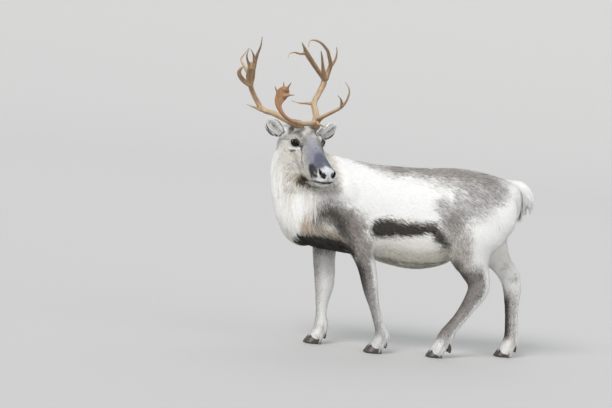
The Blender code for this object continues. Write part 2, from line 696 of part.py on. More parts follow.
def build_ear(name, side):
    """A cupped ear on its axis: an arc across the axis that opens forward, wide in the middle."""
    root = over_head((-0.066, 0.084 * side, -0.058))
    tip = over_head((-0.052, 0.188 * side, 0.003))
    along = unit(tip - root)
    mouth = unit(FORWARD + UP * -0.15 + LEVEL_LEFT * 0.25 * side)
    mouth = unit(mouth - along * along.dot(mouth))
    across = along.cross(mouth)
    length = (tip - root).length
    thick = 0.0060
    # share of the length, half width of the cup, half angle of its arc in degrees
    shape = [(0.00, 0.019, 140), (0.22, 0.0260, 122), (0.45, 0.0340, 106), (0.66, 0.0330, 98),
             (0.84, 0.0235, 92), (1.00, 0.0055, 86)]
    steps = 7
    rings = []
    for share, half, angle in shape:
        middle = root + along * length * share + mouth * 0.012 * math.sin(math.pi * share)
        wall = thick * (1.0 - 0.6 * share)
        outer = []
        inner = []
        for k in range(steps):
            turn = math.radians(angle) * (2 * k / (steps - 1) - 1)
            way = across * math.sin(turn) - mouth * math.cos(turn)
            outer.append(middle + way * half)
            inner.append(middle + way * max(half - wall, half * 0.45))
        rings.append(outer + inner[::-1])
    return skin_rings(name, rings)


def build_eye(name, side):
    place = mirrored(EYE_PLACE, side)
    return egg(name, on_head(place), (FACE * EYE_RADIUS, LEFT * EYE_RADIUS * side, CROWN * EYE_RADIUS), 7, 10)


def eye_axes(side):
    """Along the eye's opening, up across it, and the way it looks: outwards, and a little ahead and up."""
    gaze = unit(LEFT * side * 0.88 + FACE * 0.42 + CROWN * 0.22)
    along = FACE * 0.90 - LEFT * side * 0.40 + CROWN * 0.25
    along = unit(along - gaze * along.dot(gaze))
    high = unit(CROWN - gaze * CROWN.dot(gaze) - along * CROWN.dot(along))
    return along, high, gaze


def almond(side, spread):
    """The edge of the eye's opening: a loop of places round the ball, pointed at both corners."""
    middle = on_head(mirrored(EYE_PLACE, side))
    along, high, gaze = eye_axes(side)
    loop = []
    for k in range(LID_STEPS):
        turn = 2 * math.pi * k / LID_STEPS
        across = 0.0215 * spread * math.cos(turn)
        lift = 0.0130 * spread * math.sin(turn) * (1.0 - 0.35 * abs(math.cos(turn)))
        rest = math.sqrt(max((EYE_RADIUS * 1.06) ** 2 - (0.80 * across) ** 2 - lift**2, 0.0))
        loop.append(middle + along * across + high * lift + gaze * rest)
    return loop


def build_lid(side):
    """A soft rim round the eye."""
    loop = almond(side, 1.04)
    middle = on_head(mirrored(EYE_PLACE, side))
    vertices = []
    for i, place in enumerate(loop):
        along = unit(loop[(i + 1) % len(loop)] - loop[i - 1])
        out = unit(place - middle)
        other = along.cross(out)
        for k in range(LID_SIDES):
            turn = 2 * math.pi * k / LID_SIDES
            vertices.append(place + (out * math.cos(turn) + other * math.sin(turn)) * 0.0036)
    count = len(loop)
    faces = []
    for i in range(count):
        for k in range(LID_SIDES):
            a, b, after = i * LID_SIDES, (i + 1) % count * LID_SIDES, (k + 1) % LID_SIDES
            faces.append((a + k, a + after, b + after, b + k))
    return face_outwards(new_object("lid", vertices, faces))


def eye_opening(side):
    """A cone through the almond that frees the eye's front."""
    loop = almond(side, 1.0)
    middle = on_head(mirrored(EYE_PLACE, side))
    near = [middle.lerp(place, 0.6) for place in loop]
    far = [middle + (place - middle) * 1.9 for place in loop]
    return skin_rings("opening", [near, far])


def mouth_cutter():
    """A thin curved wedge along both lips and round the front."""
    right = [(0.250, -0.056, -0.110), (0.268, -0.049, -0.106), (0.296, -0.040, -0.086),
             (0.318, -0.025, -0.070), (0.331, -0.008, -0.064)]
    route = right + [mirrored(place, -1) for place in reversed(right)]
    path = curve_through(route, 2)
    rings = []
    for i, place in enumerate(path):
        here = on_head(place)
        along = unit(on_head(path[min(i + 1, len(path) - 1)]) - on_head(path[max(i - 1, 0)]))
        deep = unit(along.cross(CROWN))
        lift = deep.cross(along)
        ring = []
        for k in range(6):
            turn = 2 * math.pi * k / 6
            ring.append(here + deep * 0.0075 * math.cos(turn) + lift * 0.0016 * math.sin(turn))
        rings.append(ring)
    return skin_rings("mouth", rings)


def nostril_cutter(side):
    middle = on_head((0.314, 0.0285 * side, -0.030))
    slit = unit(FACE * 0.75 + CROWN * -0.66)
    depth = unit(LEFT * side + FACE * 0.55)
    other = slit.cross(depth)
    return egg("nostril", middle, (slit * 0.0115, other * 0.0050, depth * 0.014), 8, 10)


def build_head():
    pieces = [skin_rings("face", head_rings(HEAD, 3, 24))]
    for place, halves in HEAD_MASSES:
        for side in (-1, 1):
            pieces.append(head_egg("mass", mirrored(place, side), halves))
    for side in (-1, 1):
        foot, top, radius = PEDICLE
        rows = [(*mirrored(foot, side), radius), (*mirrored(top, side), radius * 0.95)]
        rings = []
        for along, left, above, size in rows:
            ring = []
            for k in range(12):
                turn = 2 * math.pi * k / 12
                ring.append(on_head((along + size * math.cos(turn), left + size * math.sin(turn), above)))
            rings.append(ring)
        pieces.append(skin_rings("pedicle", rings))
    return pieces


def build_leg(name):
    return skin_rings(name, limb_rings(LEGS[name], 3, 16))


def hoof_height(forward_share):
    """The coronet slopes: highest over the toe."""
    return CORONET * (0.72 + 0.42 * forward_share)


def build_hoof(name, ankle, side, hind):
    """One claw: a crescent sole, a sloped wall in front and a flat inner side."""
    x, y = ankle[0], ankle[1]
    length = 0.074 if hind else 0.080
    width = 0.034 if hind else 0.038
    levels = [(0.0, 1.00, 0.000), (0.007, 1.03, 0.000), (0.020, 0.93, 0.006), (1.0, 0.74, 0.016)]
    rings = []
    for height, size, back in levels:
        ring = []
        for j in range(10):
            turn = 2 * math.pi * j / 10
            forward = math.cos(turn)
            across = math.sin(turn)
            toe_in = 0.30 * max(forward, 0.0)
            out = (across * 0.5 + 0.5) * width * (1.0 - 0.35 * max(forward, 0) ** 2) * size
            place_x = x - 0.012 - forward * length * 0.5 * size + back
            place_y = y + side * (0.0012 + out + toe_in * width * 0.10)
            z = hoof_height((forward + 1) / 2) if height == 1.0 else height
            ring.append(Vector((place_x, place_y, z)))
        rings.append(ring)
    return skin_rings(name, rings)


def build_dewclaw(name, fetlock, side):
    """A small hanging claw behind the fetlock."""
    x, y = fetlock[0], fetlock[1]
    rows = [(x + 0.020, y + side * 0.016, 0.070, 0.010, 0.009),
            (x + 0.034, y + side * 0.021, 0.045, 0.012, 0.010),
            (x + 0.028, y + side * 0.021, 0.017, 0.004, 0.004)]
    return skin_rings(name, limb_rings(rows, 1, 6))


def inset(rows):
    """The core under the mane: rows of a limb with their half sizes less the depth of the locks."""
    cored = []
    for x, y, z, deep, wide in rows:
        share = min(max((MANE_TOP[0] - z) / (MANE_TOP[0] - MANE_TOP[1]), 0.0), 1.0)
        cored.append((x, y, z, deep - MANE_DEPTH * share, wide - MANE_DEPTH * share))
    return cored


def surface_of(made):
    shape = bmesh.new()
    shape.from_mesh(made.data)
    tree = BVHTree.FromBMesh(shape)
    shape.free()
    return tree


# A lock's rings: share of its length, of its half width, of its half thickness and of its rise over the skin
LOCK_FORM = [(0.00, 0.80, 1.00, 0.00), (0.30, 1.00, 0.90, 0.75),
             (0.68, 0.72, 0.70, 1.00), (1.00, 0.10, 0.16, 0.80)]


def build_lock(tree, root, heading, sizes, bend, hang):
    """A flat tapered lock: it leaves the skin, bends over and lies along it, or hangs free of it."""
    length, width, thickness, rise = sizes
    place = Vector(root)
    heading = unit(heading)
    rings = []
    for i, (share, wide, deep, off) in enumerate(LOCK_FORM):
        spot, normal, _, _ = tree.find_nearest(place)
        if i == 0:
            place = spot - normal * LOCK_SINK
        elif not hang or (place - spot).dot(normal) < off * rise:
            place = spot + normal * off * rise
        flow = heading if hang else unit(heading - normal * heading.dot(normal))
        across = unit(flow.cross(normal))
        out = across.cross(flow)
        side, rim = across * wide * width / 2, out * deep * thickness / 2
        rings.append([place + side, place + rim, place - side, place - rim])
        if i + 1 < len(LOCK_FORM):
            place = place + flow * length * (LOCK_FORM[i + 1][0] - share)
            heading = unit(flow + across * bend)
    return skin_rings("lock", rings)


def varied(draw, sizes, share=0.18):
    return [size * (1 + draw.uniform(-share, share)) for size in sizes]


def in_head_zone(point):
    away = Vector(point) - POLL
    along, left, above = away.dot(FACE), away.dot(LEFT), away.dot(CROWN)
    under = np.interp(along, *zip(*HEAD_UNDER))
    return along > HEAD_BACK and abs(left) < HEAD_HALF and above > under


def mane_locks(tree):
    """Rows round the front of neck and breast that hang over one another."""
    draw = random.Random(3)
    centres = [(row[2], row[0], row[1]) for row in BREAST]
    locks = []
    for level in MANE_ROWS:
        upper = [row for row in centres if row[0] >= level][-1]
        lower = [row for row in centres if row[0] <= level][0]
        share = 0.0 if upper == lower else (upper[0] - level) / (upper[0] - lower[0])
        x = upper[1] + (lower[1] - upper[1]) * share
        y = upper[2] + (lower[2] - upper[2]) * share
        start = draw.uniform(-0.5, 0.5)
        for k in range(MANE_ROUND):
            turn = math.radians(MANE_REACH) * ((k + 0.5 + start * 0.6) * 2 / MANE_ROUND - 1)
            way = Vector((-math.cos(turn), math.sin(turn), 0.0))
            centre = Vector((x, y, level + draw.uniform(-0.012, 0.012)))
            root = tree.ray_cast(centre, way, 0.4)[0]
            if root is None or in_head_zone(root - UP * 0.02):
                continue
            back = 0.15 + 0.45 * abs(turn) / math.radians(MANE_REACH)
            heading = Vector((back, 0.0, -1.0)) + way * 0.1
            bend = draw.uniform(-0.25, 0.25)
            locks.append(build_lock(tree, root, heading, varied(draw, MANE_LOCK), bend, False))
    return locks


def fringe_locks(tree, places, sizes, seed):
    """Locks under the body at the given places across the floor plan, which lie back over one another."""
    draw = random.Random(seed)
    locks = []
    for x, y in places:
        start = Vector((x + draw.uniform(-0.008, 0.008), y + draw.uniform(-0.008, 0.008), 0.30))
        root = tree.ray_cast(start, UP, 0.4)[0]
        if root is None:
            continue
        heading = Vector((draw.uniform(0.8, 1.2), y * 4.0, -0.5))
        locks.append(build_lock(tree, root, heading, varied(draw, sizes), draw.uniform(-0.2, 0.2), False))
    return locks


def tail_locks(tree, path):
    draw = random.Random(11)
    locks = []
    for share, count in TAIL_ROWS:
        i = share * (len(path) - 1)
        here = Vector(path[int(i)][:3]).lerp(Vector(path[min(int(i) + 1, len(path) - 1)][:3]), i % 1)
        along = unit(Vector(path[min(int(i) + 1, len(path) - 1)][:3]) - Vector(path[int(i)][:3]))
        for k in range(count):
            turn = 2 * math.pi * (k + 0.5 * draw.random()) / count
            front = unit(Vector((0, 1, 0)).cross(along))
            way = front * math.cos(turn) + Vector((0, 1, 0)) * math.sin(turn)
            root = tree.ray_cast(here, way, 0.2)[0]
            if root is not None:
                heading = along + way * 0.14 - UP * 0.45
                bend = draw.uniform(-0.3, 0.3)
                locks.append(build_lock(tree, root, heading, varied(draw, TAIL_LOCK), bend, True))
    return locks


def build_tail():
    return skin_rings("tail", limb_rings(TAIL, 2, 10))


def paint(made, material):
    made.data.materials.clear()
    made.data.materials.append(material)
    made.data.shade_smooth()
    made.data.set_sharp_from_angle(angle=math.radians(40))


def build_reindeer():
    white_coat = make_material("white_coat", (0.74, 0.70, 0.64), 0.9)
    grey_coat = make_material("grey_coat", (0.36, 0.33, 0.31), 0.9)
    horn = make_material("hoof_horn", (0.045, 0.040, 0.038), 0.55)
    bone = make_material("antler_bone", (0.55, 0.42, 0.30), 0.6)
    eye_glass = make_material("eye_wet", (0.012, 0.012, 0.016), 0.08)

    eyes = {"eye_left": build_eye("eye_left", 1), "eye_right": build_eye("eye_right", -1)}
    ears = {"ear_left": build_ear("ear_left", 1), "ear_right": build_ear("ear_right", -1)}
    antlers = build_antlers(bone)

    # head: finer than the body, and parted from the neck by the head's block
    throat = [skin_rings("throat", limb_rings(inset(NECK), 3, 24))]
    throat.append(skin_rings("breast", limb_rings(inset(BREAST), 3, 20)))
    head = melt("head", build_head() + throat, HEAD_VOXEL, HEAD_TRIANGLES, 6)
    combine(head, [head_zone(0.0)], "INTERSECT", "MANIFOLD")
    combine(head, [build_lid(1), build_lid(-1)], "UNION", "MANIFOLD")
    cutters = [eye_opening(1), eye_opening(-1), mouth_cutter(), nostril_cutter(1), nostril_cutter(-1)]
    cutters += [grown(eye) for eye in eyes.values()]
    cutters += [grown(antlers["antler_left_beam"]), grown(antlers["antler_right_beam"])]
    for cutter in cutters:
        combine(head, [cutter], "DIFFERENCE", "MANIFOLD")
    for antler_name in ("antler_left_brow", "antler_left_bez"):
        cut_clear(antlers[antler_name], {head: GAP})

    # body in one, then parted
    pieces = [skin_rings("trunk", trunk_rings(TRUNK, 3, 28)), skin_rings("neck", limb_rings(inset(NECK), 3, 24))]
    pieces.append(skin_rings("breast", limb_rings(inset(BREAST), 3, 20)))
    pieces += [build_leg(name) for name in LEGS]
    pieces += build_head()
    body = melt("torso", pieces, BODY_VOXEL, BODY_TRIANGLES, 5)
    skin = surface_of(body)
    combine(body, [head_zone(GAP)], "DIFFERENCE", "MANIFOLD")

    parts = {}
    # each leg's zone: ends in x and y of its upper block, its top, and ends in x of its lower block
    leg_zones = {"fore_left": (-0.345, -0.185, -0.300, -0.058, 0.468, -0.40, -0.10),
                 "fore_right": (-0.470, -0.320, 0.058, 0.300, 0.468, -0.50, -0.26),
                 "hind_left": (0.150, 0.390, -0.300, -0.030, 0.470, 0.06, 0.46),
                 "hind_right": (0.390, 0.620, 0.030, 0.300, 0.470, 0.38, 0.68)}
    knees = {"fore_left": 0.262, "fore_right": 0.255, "hind_left": 0.300, "hind_right": 0.300}
    for name, zone in leg_zones.items():
        leg = copy_of(body, "leg_" + name + "_upper")
        combine(leg, [leg_block(zone, -GAP / 2)], "INTERSECT", "MANIFOLD")
        combine(body, [leg_block(zone, GAP / 2)], "DIFFERENCE", "MANIFOLD")
        parts[leg.name] = leg
    for name, level in knees.items():
        upper = parts["leg_" + name + "_upper"]
        ankle = LEGS[name][-2]
        middle = Vector(min(LEGS[name], key=lambda row: abs(row[2] - level))[:3])
        middle.z = level
        lower = split(upper, "leg_" + name + "_lower", middle, KNEE_CUT)
        parts[lower.name] = lower
        hind = name.startswith("hind")
        for side, word in ((-1, "left"), (1, "right")):
            claw = build_hoof("hoof_" + name + "_" + word, ankle, side, hind)
            parts[claw.name] = claw
            dewclaw = build_dewclaw("dewclaw_" + name + "_" + word, LEGS[name][-4], side)
            parts[dewclaw.name] = dewclaw
            cut_clear(lower, {claw: GAP, dewclaw: GAP})

    neck = split(body, "neck", (-0.430, 0.0, 0.700), (-1.0, 0.0, 0.30))
    parts["neck"] = neck
    neck_locks = mane_locks(skin) + fringe_locks(skin, BRISKET_FRONT, BRISKET_LOCK, 5)
    body_locks = fringe_locks(skin, BRISKET_BACK, BRISKET_LOCK, 7) + fringe_locks(skin, BELLY, BELLY_LOCK, 9)
    combine(neck, neck_locks, "UNION", "MANIFOLD")
    combine(body, body_locks, "UNION", "MANIFOLD")
    for zone in leg_zones.values():
        combine(body, [leg_block(zone, GAP / 2)], "DIFFERENCE", "MANIFOLD")
    combine(neck, [head_zone(GAP)], "DIFFERENCE", "MANIFOLD")
    cut_clear(neck, {body: GAP})
    tail = build_tail()
    combine(tail, tail_locks(surface_of(tail), curve_through(TAIL, 2)), "UNION", "MANIFOLD")
    cut_clear(tail, {body: GAP})
    for ear in ears.values():
        cut_clear(ear, {head: GAP, neck: GAP})

    for made in (head, neck, body, tail, *ears.values()):
        paint(made, white_coat)
    for name, made in parts.items():
        if name.startswith("leg"):
            paint(made, grey_coat)
        elif name.startswith(("hoof", "dewclaw")):
            paint(made, horn)
    for made in eyes.values():
        paint(made, eye_glass)
    for made in antlers.values():
        paint(made, bone)
    for made in list(bpy.context.scene.collection.objects):
        for vertex in made.data.vertices:
            vertex.co -= ORIGIN


clear_scene()
build_reindeer()
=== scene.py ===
import math

import bmesh
import bpy
import numpy as np
from mathutils import Matrix, Vector
from mathutils.bvhtree import BVHTree
from mathutils.kdtree import KDTree


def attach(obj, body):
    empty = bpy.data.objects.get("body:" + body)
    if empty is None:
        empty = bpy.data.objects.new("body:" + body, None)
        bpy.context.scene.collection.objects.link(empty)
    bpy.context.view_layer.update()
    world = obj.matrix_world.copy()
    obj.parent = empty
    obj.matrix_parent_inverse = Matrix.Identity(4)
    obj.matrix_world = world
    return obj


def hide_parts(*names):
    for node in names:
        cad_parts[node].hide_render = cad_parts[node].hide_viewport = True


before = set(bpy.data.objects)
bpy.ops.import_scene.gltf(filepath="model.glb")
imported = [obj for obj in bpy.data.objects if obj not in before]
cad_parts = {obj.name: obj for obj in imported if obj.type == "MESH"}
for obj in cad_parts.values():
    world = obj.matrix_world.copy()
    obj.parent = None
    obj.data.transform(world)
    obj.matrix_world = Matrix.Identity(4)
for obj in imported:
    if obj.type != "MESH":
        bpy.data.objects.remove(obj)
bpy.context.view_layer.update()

farAway = 9.0  # metres, more than any distance on the animal

# Shapes are laid out from the first sketch point, and moved to the frame at the end.
shift = np.array((0.145, 0.028, 0.0))

# Trunk: x, underside, back, half width, widest level as a share, squareness
trunkRows = [
    (-0.565, 0.535, 0.8, 0.075, 0.5, 2.0), (-0.53, 0.49, 0.884, 0.118, 0.5, 2.1),
    (-0.45, 0.47, 0.916, 0.152, 0.48, 2.2), (-0.35, 0.461, 0.905, 0.168, 0.46, 2.3),
    (-0.23, 0.448, 0.892, 0.172, 0.46, 2.3), (-0.11, 0.42, 0.891, 0.181, 0.45, 2.2),
    (0.0, 0.408, 0.893, 0.192, 0.44, 2.2), (0.09, 0.42, 0.899, 0.194, 0.45, 2.2),
    (0.17, 0.448, 0.906, 0.186, 0.5, 2.2), (0.26, 0.49, 0.905, 0.176, 0.55, 2.2),
    (0.35, 0.535, 0.892, 0.165, 0.58, 2.2), (0.43, 0.585, 0.873, 0.14, 0.6, 2.1), (0.49, 0.64, 0.85, 0.095, 0.6, 2.0),
    (0.515, 0.69, 0.815, 0.045, 0.6, 2.0),
]


def fromMillimetres(rows):
    return [tuple(value / 1000 for value in row) for row in rows]


# Neck, breast, tail and legs in millimetres: centre x, y, z, half depth, half width
neckRows = fromMillimetres([
    (-270, 0, 690, 205, 150), (-370, 2, 705, 215, 150), (-455, 8, 735, 208, 142), (-520, 18, 785, 185, 128),
    (-565, 32, 850, 152, 114), (-588, 47, 915, 118, 104), (-598, 60, 970, 94, 92), (-602, 57, 1003, 77, 73),
    (-603, 45, 1028, 48, 47),
])
breastRows = fromMillimetres([
    (-600, 10, 950, 90, 80), (-606, 6, 870, 112, 95), (-596, 2, 780, 122, 110), (-580, 0, 690, 118, 120),
    (-562, 0, 610, 108, 120), (-540, 0, 545, 85, 105), (-505, 0, 500, 45, 75),
])
tailRows = fromMillimetres([
    (440, 0, 842, 28, 33), (490, 0, 836, 28, 34), (527, 0, 812, 25, 31), (545, 0, 782, 18, 22), (549, 0, 755, 6, 7),
])
legRows = {
    "fore_left": [
        (-335, -85, 640, 105, 70), (-305, -105, 555, 86, 66), (-274, -112, 480, 63, 56), (-244, -112, 410, 51, 45),
        (-223, -110, 345, 44, 37), (-206, -108, 285, 37, 34), (-184, -106, 225, 29, 26), (-158, -104, 155, 27, 23),
        (-134, -102, 100, 32, 30), (-143, -102, 64, 29, 34), (-157, -102, 32, 32, 40), (-165, -102, 10, 32, 40),
    ],
    "fore_right": [
        (-400, 85, 640, 105, 70), (-398, 105, 555, 88, 66), (-395, 112, 470, 68, 56), (-390, 112, 400, 59, 48),
        (-381, 110, 335, 54, 41), (-377, 108, 275, 49, 38), (-380, 106, 210, 37, 29), (-379, 104, 150, 30, 25),
        (-377, 102, 100, 33, 30), (-386, 102, 64, 29, 34), (-398, 102, 32, 32, 40), (-406, 102, 10, 32, 40),
    ],
    "hind_left": [
        (335, -80, 770, 130, 75), (295, -98, 680, 168, 85), (265, -108, 590, 162, 83), (262, -112, 510, 122, 68),
        (288, -112, 435, 81, 52), (315, -112, 378, 62, 39), (318, -110, 332, 56, 35), (286, -108, 265, 43, 29),
        (240, -107, 190, 35, 26), (184, -106, 112, 36, 30), (162, -106, 70, 31, 34), (147, -106, 34, 33, 40),
        (139, -106, 10, 33, 40),
    ],
    "hind_right": [
        (350, 80, 770, 135, 75), (375, 98, 680, 166, 85), (400, 106, 590, 135, 80), (443, 110, 515, 90, 64),
        (500, 110, 445, 60, 48), (545, 110, 392, 56, 38), (562, 108, 345, 51, 35), (568, 106, 285, 43, 30),
        (575, 105, 200, 36, 27), (583, 104, 112, 37, 30), (572, 104, 70, 32, 34), (558, 104, 34, 33, 40),
        (550, 104, 10, 33, 40),
    ],
}
legRows = {leg: fromMillimetres(rows) for leg, rows in legRows.items()}
# Head in millimetres, across the face line: place along it, top, bottom, half widths at top, brow and jaw
headRows = fromMillimetres([
    (-115, -85, -200, 45, 68, 45), (-80, -50, -225, 55, 78, 55), (-40, -30, -248, 58, 80, 62),
    (0, -17, -262, 58, 81, 67), (40, -10, -268, 58, 85, 70), (70, -10, -267, 55, 84, 70),
    (110, -15, -256, 49, 74, 66), (150, -18, -237, 46, 65, 59), (200, -17, -202, 44, 58, 49),
    (250, -15, -163, 43, 54, 38), (285, -14, -134, 40, 50, 31), (310, -20, -110, 32, 42, 25),
    (326, -34, -90, 18, 27, 14),
])
browShare = 0.31  # how far down the head is widest
# Rounded masses of the head in millimetres: place, half lengths along, across and above, on both sides
headMasses = [
    ((54, 60, -40), (26, 8, 10)), ((78, 60, -85), (44, 20, 22)), ((20, 45, -150), (60, 28, 70)),
    ((296, 28, -36), (28, 19, 20)), ((304, 20, -62), (26, 26, 18)), ((282, 12, -104), (26, 18, 14)),
]
headMasses = [fromMillimetres(mass) for mass in headMasses]

poll = np.array((-0.583, -0.05, 1.038))
eyePlan = {"radius": 0.0185, "place": (0.063, 0.0645, -0.053), "halfWidth": 0.0222, "halfHeight": 0.0148}
eyeRadius, eyePlace = eyePlan["radius"], eyePlan["place"]


def mirrored(places):
    return np.stack([places[:, 0], np.abs(places[:, 1]), places[:, 2]], axis=1)


def wholeTurn(count):
    return 2 * np.pi * np.arange(count) / count


def unit(vectors):
    vectors = np.asarray(vectors, dtype=float)
    return vectors / np.maximum(np.linalg.norm(vectors, axis=-1, keepdims=True), 1e-12)


# smoothly from 0 at low to 1 at high
def ramp(value, low, high):
    share = np.clip((value - low) / (high - low), 0.0, 1.0)
    return share * share * (3 - 2 * share)


headYaw, headPitch, headRoll = math.radians(-75), math.radians(37), math.radians(6)
up = np.array((0.0, 0.0, 1.0))
ahead = np.array((math.cos(headYaw), math.sin(headYaw), 0.0))
levelLeft = np.array((-math.sin(headYaw), math.cos(headYaw), 0.0))
faceLine = ahead * math.cos(headPitch) - up * math.sin(headPitch)
crownLevel = ahead * math.sin(headPitch) + up * math.cos(headPitch)
headLeft = levelLeft * math.cos(headRoll) + crownLevel * math.sin(headRoll)
crown = crownLevel * math.cos(headRoll) - levelLeft * math.sin(headRoll)
headAxes = np.array((faceLine, headLeft, crown))


# a place given along the face, to the left and above the face line
def onHead(point):
    return poll + np.asarray(point) @ headAxes


# a place given level: forward, left and up from the top of the head
def overHead(point):
    return poll + np.asarray(point) @ np.array((ahead, levelLeft, up))


def toHead(points):
    return (points - poll) @ headAxes.T


# from the place before to the place after, along a path
def heading(path, i):
    return path[min(i + 1, len(path) - 1)] - path[max(i - 1, 0)]


# rows of numbers joined by a smooth curve, with this many steps from each row to the next
def curveThrough(rows, steps):
    rows = np.array(rows, dtype=float)
    padded = np.vstack([2 * rows[0] - rows[1], rows, 2 * rows[-1] - rows[-2]])
    found = []
    for i in range(1, len(padded) - 2):
        before, start, end, after = padded[i - 1 : i + 3]
        for t in np.arange(steps) / steps:
            bend = 2 * before - 5 * start + 4 * end - after
            turn = 3 * start - before - 3 * end + after
            found.append(0.5 * (2 * start + (end - before) * t + bend * t**2 + turn * t**3))
    found.append(padded[-2])
    return np.array(found)


# vertices and faces of a closed tube through rings of equal length
def tube(rings):
    rings = np.asarray(rings)
    levels, count = rings.shape[:2]
    vertices = [*rings.reshape(-1, 3), rings[0].mean(0), rings[-1].mean(0)]
    faces = []
    for i in range(levels - 1):
        for j in range(count):
            k = (j + 1) % count
            faces.append((i * count + j, i * count + k, (i + 1) * count + k, (i + 1) * count + j))
    last = (levels - 1) * count
    for j in range(count):
        k = (j + 1) % count
        faces.append((levels * count, k, j))
        faces.append((levels * count + 1, last + j, last + k))
    return vertices, faces


def newObject(name, data):
    made = bpy.data.objects.new(name, data)
    bpy.context.scene.collection.objects.link(made)
    return made


def triangleCount(made):
    return sum(len(face.vertices) - 2 for face in made.data.polygons)


# one mesh object from several lists of vertices and faces
def makeObject(name, parts):
    vertices, faces = [], []
    for partVertices, partFaces in parts:
        start = len(vertices)
        vertices += [tuple(v) for v in partVertices]
        faces += [tuple(start + i for i in face) for face in partFaces]
    mesh = bpy.data.meshes.new(name)
    mesh.from_pydata(vertices, [], faces)
    shape = bmesh.new()
    shape.from_mesh(mesh)
    bmesh.ops.recalc_face_normals(shape, faces=shape.faces)
    if shape.calc_volume(signed=True) < 0:
        bmesh.ops.reverse_faces(shape, faces=shape.faces)
    shape.to_mesh(mesh)
    shape.free()
    return newObject(name, mesh)


def applyModifiers(made):
    graph = bpy.context.evaluated_depsgraph_get()
    mesh = bpy.data.meshes.new_from_object(made.evaluated_get(graph))
    made.modifiers.clear()
    old = made.data
    made.data = mesh
    bpy.data.meshes.remove(old)
    return made


# runs overlapping closed forms into one smooth surface
def melt(made, voxel, rounds):
    remesh = made.modifiers.new("remesh", "REMESH")
    remesh.mode = "VOXEL"
    remesh.voxel_size = voxel
    smooth = made.modifiers.new("smooth", "SMOOTH")
    smooth.factor = 0.5
    smooth.iterations = rounds
    return applyModifiers(made)


def combine(made, other, operation):
    step = made.modifiers.new("step", "BOOLEAN")
    step.operation = operation
    step.object = other
    step.solver = "MANIFOLD"
    applyModifiers(made)
    bpy.data.objects.remove(other)


# one property of every element of a mesh, as rows of numbers
def readRows(elements, key, width, kind=float):
    rows = np.empty(len(elements) * width, dtype=kind)
    elements.foreach_get(key, rows)
    return rows.reshape(-1, width)


def readPoints(made):
    return readRows(made.data.vertices, "co", 3)


def readNormals(made):
    return readRows(made.data.vertices, "normal", 3)


def writePoints(made, points):
    made.data.vertices.foreach_set("co", np.asarray(points).ravel())
    made.data.update()


def treeOf(made):
    shape = bmesh.new()
    shape.from_mesh(made.data)
    tree = BVHTree.FromBMesh(shape)
    shape.free()
    return tree


# distance of each point from a path of places, and how far along it the nearest place is
def toPath(points, path):
    path = np.asarray(path, dtype=float)
    best = np.full(len(points), farAway)
    share = np.zeros(len(points))
    if len(path) == 1:
        return np.linalg.norm(points - path[0], axis=1), share
    for i in range(len(path) - 1):
        step = path[i + 1] - path[i]
        t = np.clip((points - path[i]) @ step / max(step @ step, 1e-12), 0.0, 1.0)
        away = np.linalg.norm(points - path[i] - t[:, None] * step, axis=1)
        closer = away < best
        best = np.where(closer, away, best)
        share = np.where(closer, i + t, share)
    return best, share / (len(path) - 1)


# a repeatable number from 0 to 1 for each whole cell
def lattice(cells, seed):
    mixed = (cells[:, 0] * 73856093) ^ (cells[:, 1] * 19349663) ^ (cells[:, 2] * 83492791) ^ (seed * 2654435)
    mixed = (mixed ^ (mixed >> 13)) * 1274126177
    return ((mixed ^ (mixed >> 16)) & 65535) / 65535.0


# smooth noise from 0 to 1; scale is cells per metre, one number or one for each direction
def roughness3(points, scale, seed=1):
    scaled = points * scale
    base = np.floor(scaled).astype(np.int64)
    part = scaled - base
    part = part * part * (3 - 2 * part)
    total = np.zeros(len(points))
    for corner in range(8):
        bits = np.array((corner & 1, corner >> 1 & 1, corner >> 2 & 1))
        weight = np.prod(np.where(bits, part, 1 - part), axis=1)
        total += weight * lattice(base + bits, seed)
    return total


def mottle(points, scale, seed=1):
    return 0.6 * roughness3(points, scale, seed) + 0.4 * roughness3(points, np.asarray(scale) * 2.3, seed + 7)


# Skin
skinPlan = {
    "bodyVoxel": 0.0082,
    "headVoxel": 0.0028,
    "coatDepth": {"trunk": 0.012, "neck": 0.015, "mane": 0.016, "upper": 0.009, "lower": 0.004, "head": 0.0035},
}
depth = skinPlan["coatDepth"]


def trunkRings(rows, steps, sides):
    rings = []
    inward = depth["trunk"]
    for x, low, high, half, level, square in curveThrough(rows, steps):
        low, high, half = low + inward * 0.3, high - inward, half - inward
        middle = low + (high - low) * level
        turn = wholeTurn(sides)
        across = half * np.sign(np.cos(turn)) * np.abs(np.cos(turn)) ** (2 / square)
        lift = np.sign(np.sin(turn)) * np.abs(np.sin(turn)) ** (2 / square)
        reach = np.where(lift > 0, high - middle, middle - low)
        rings.append(np.stack([np.full(sides, x), across, middle + reach * lift], axis=1))
    return rings


# ovals across a path: half depth in the body's length, half width across it
def limbRings(rows, steps, sides, inward=0.0):
    path = curveThrough(rows, steps)
    rings = []
    turn = wholeTurn(sides)
    for i, (x, y, z, deep, wide) in enumerate(path):
        along = unit(heading(path, i)[:3])
        front = unit(np.cross((0, 1, 0), along))
        side = np.cross(along, front)
        less = inward(z) if callable(inward) else inward
        deep, wide = max(deep - less, 0.006), max(wide - less, 0.006)
        rings.append(np.array((x, y, z)) + np.outer(np.cos(turn) * deep, front) + np.outer(np.sin(turn) * wide, side))
    return rings


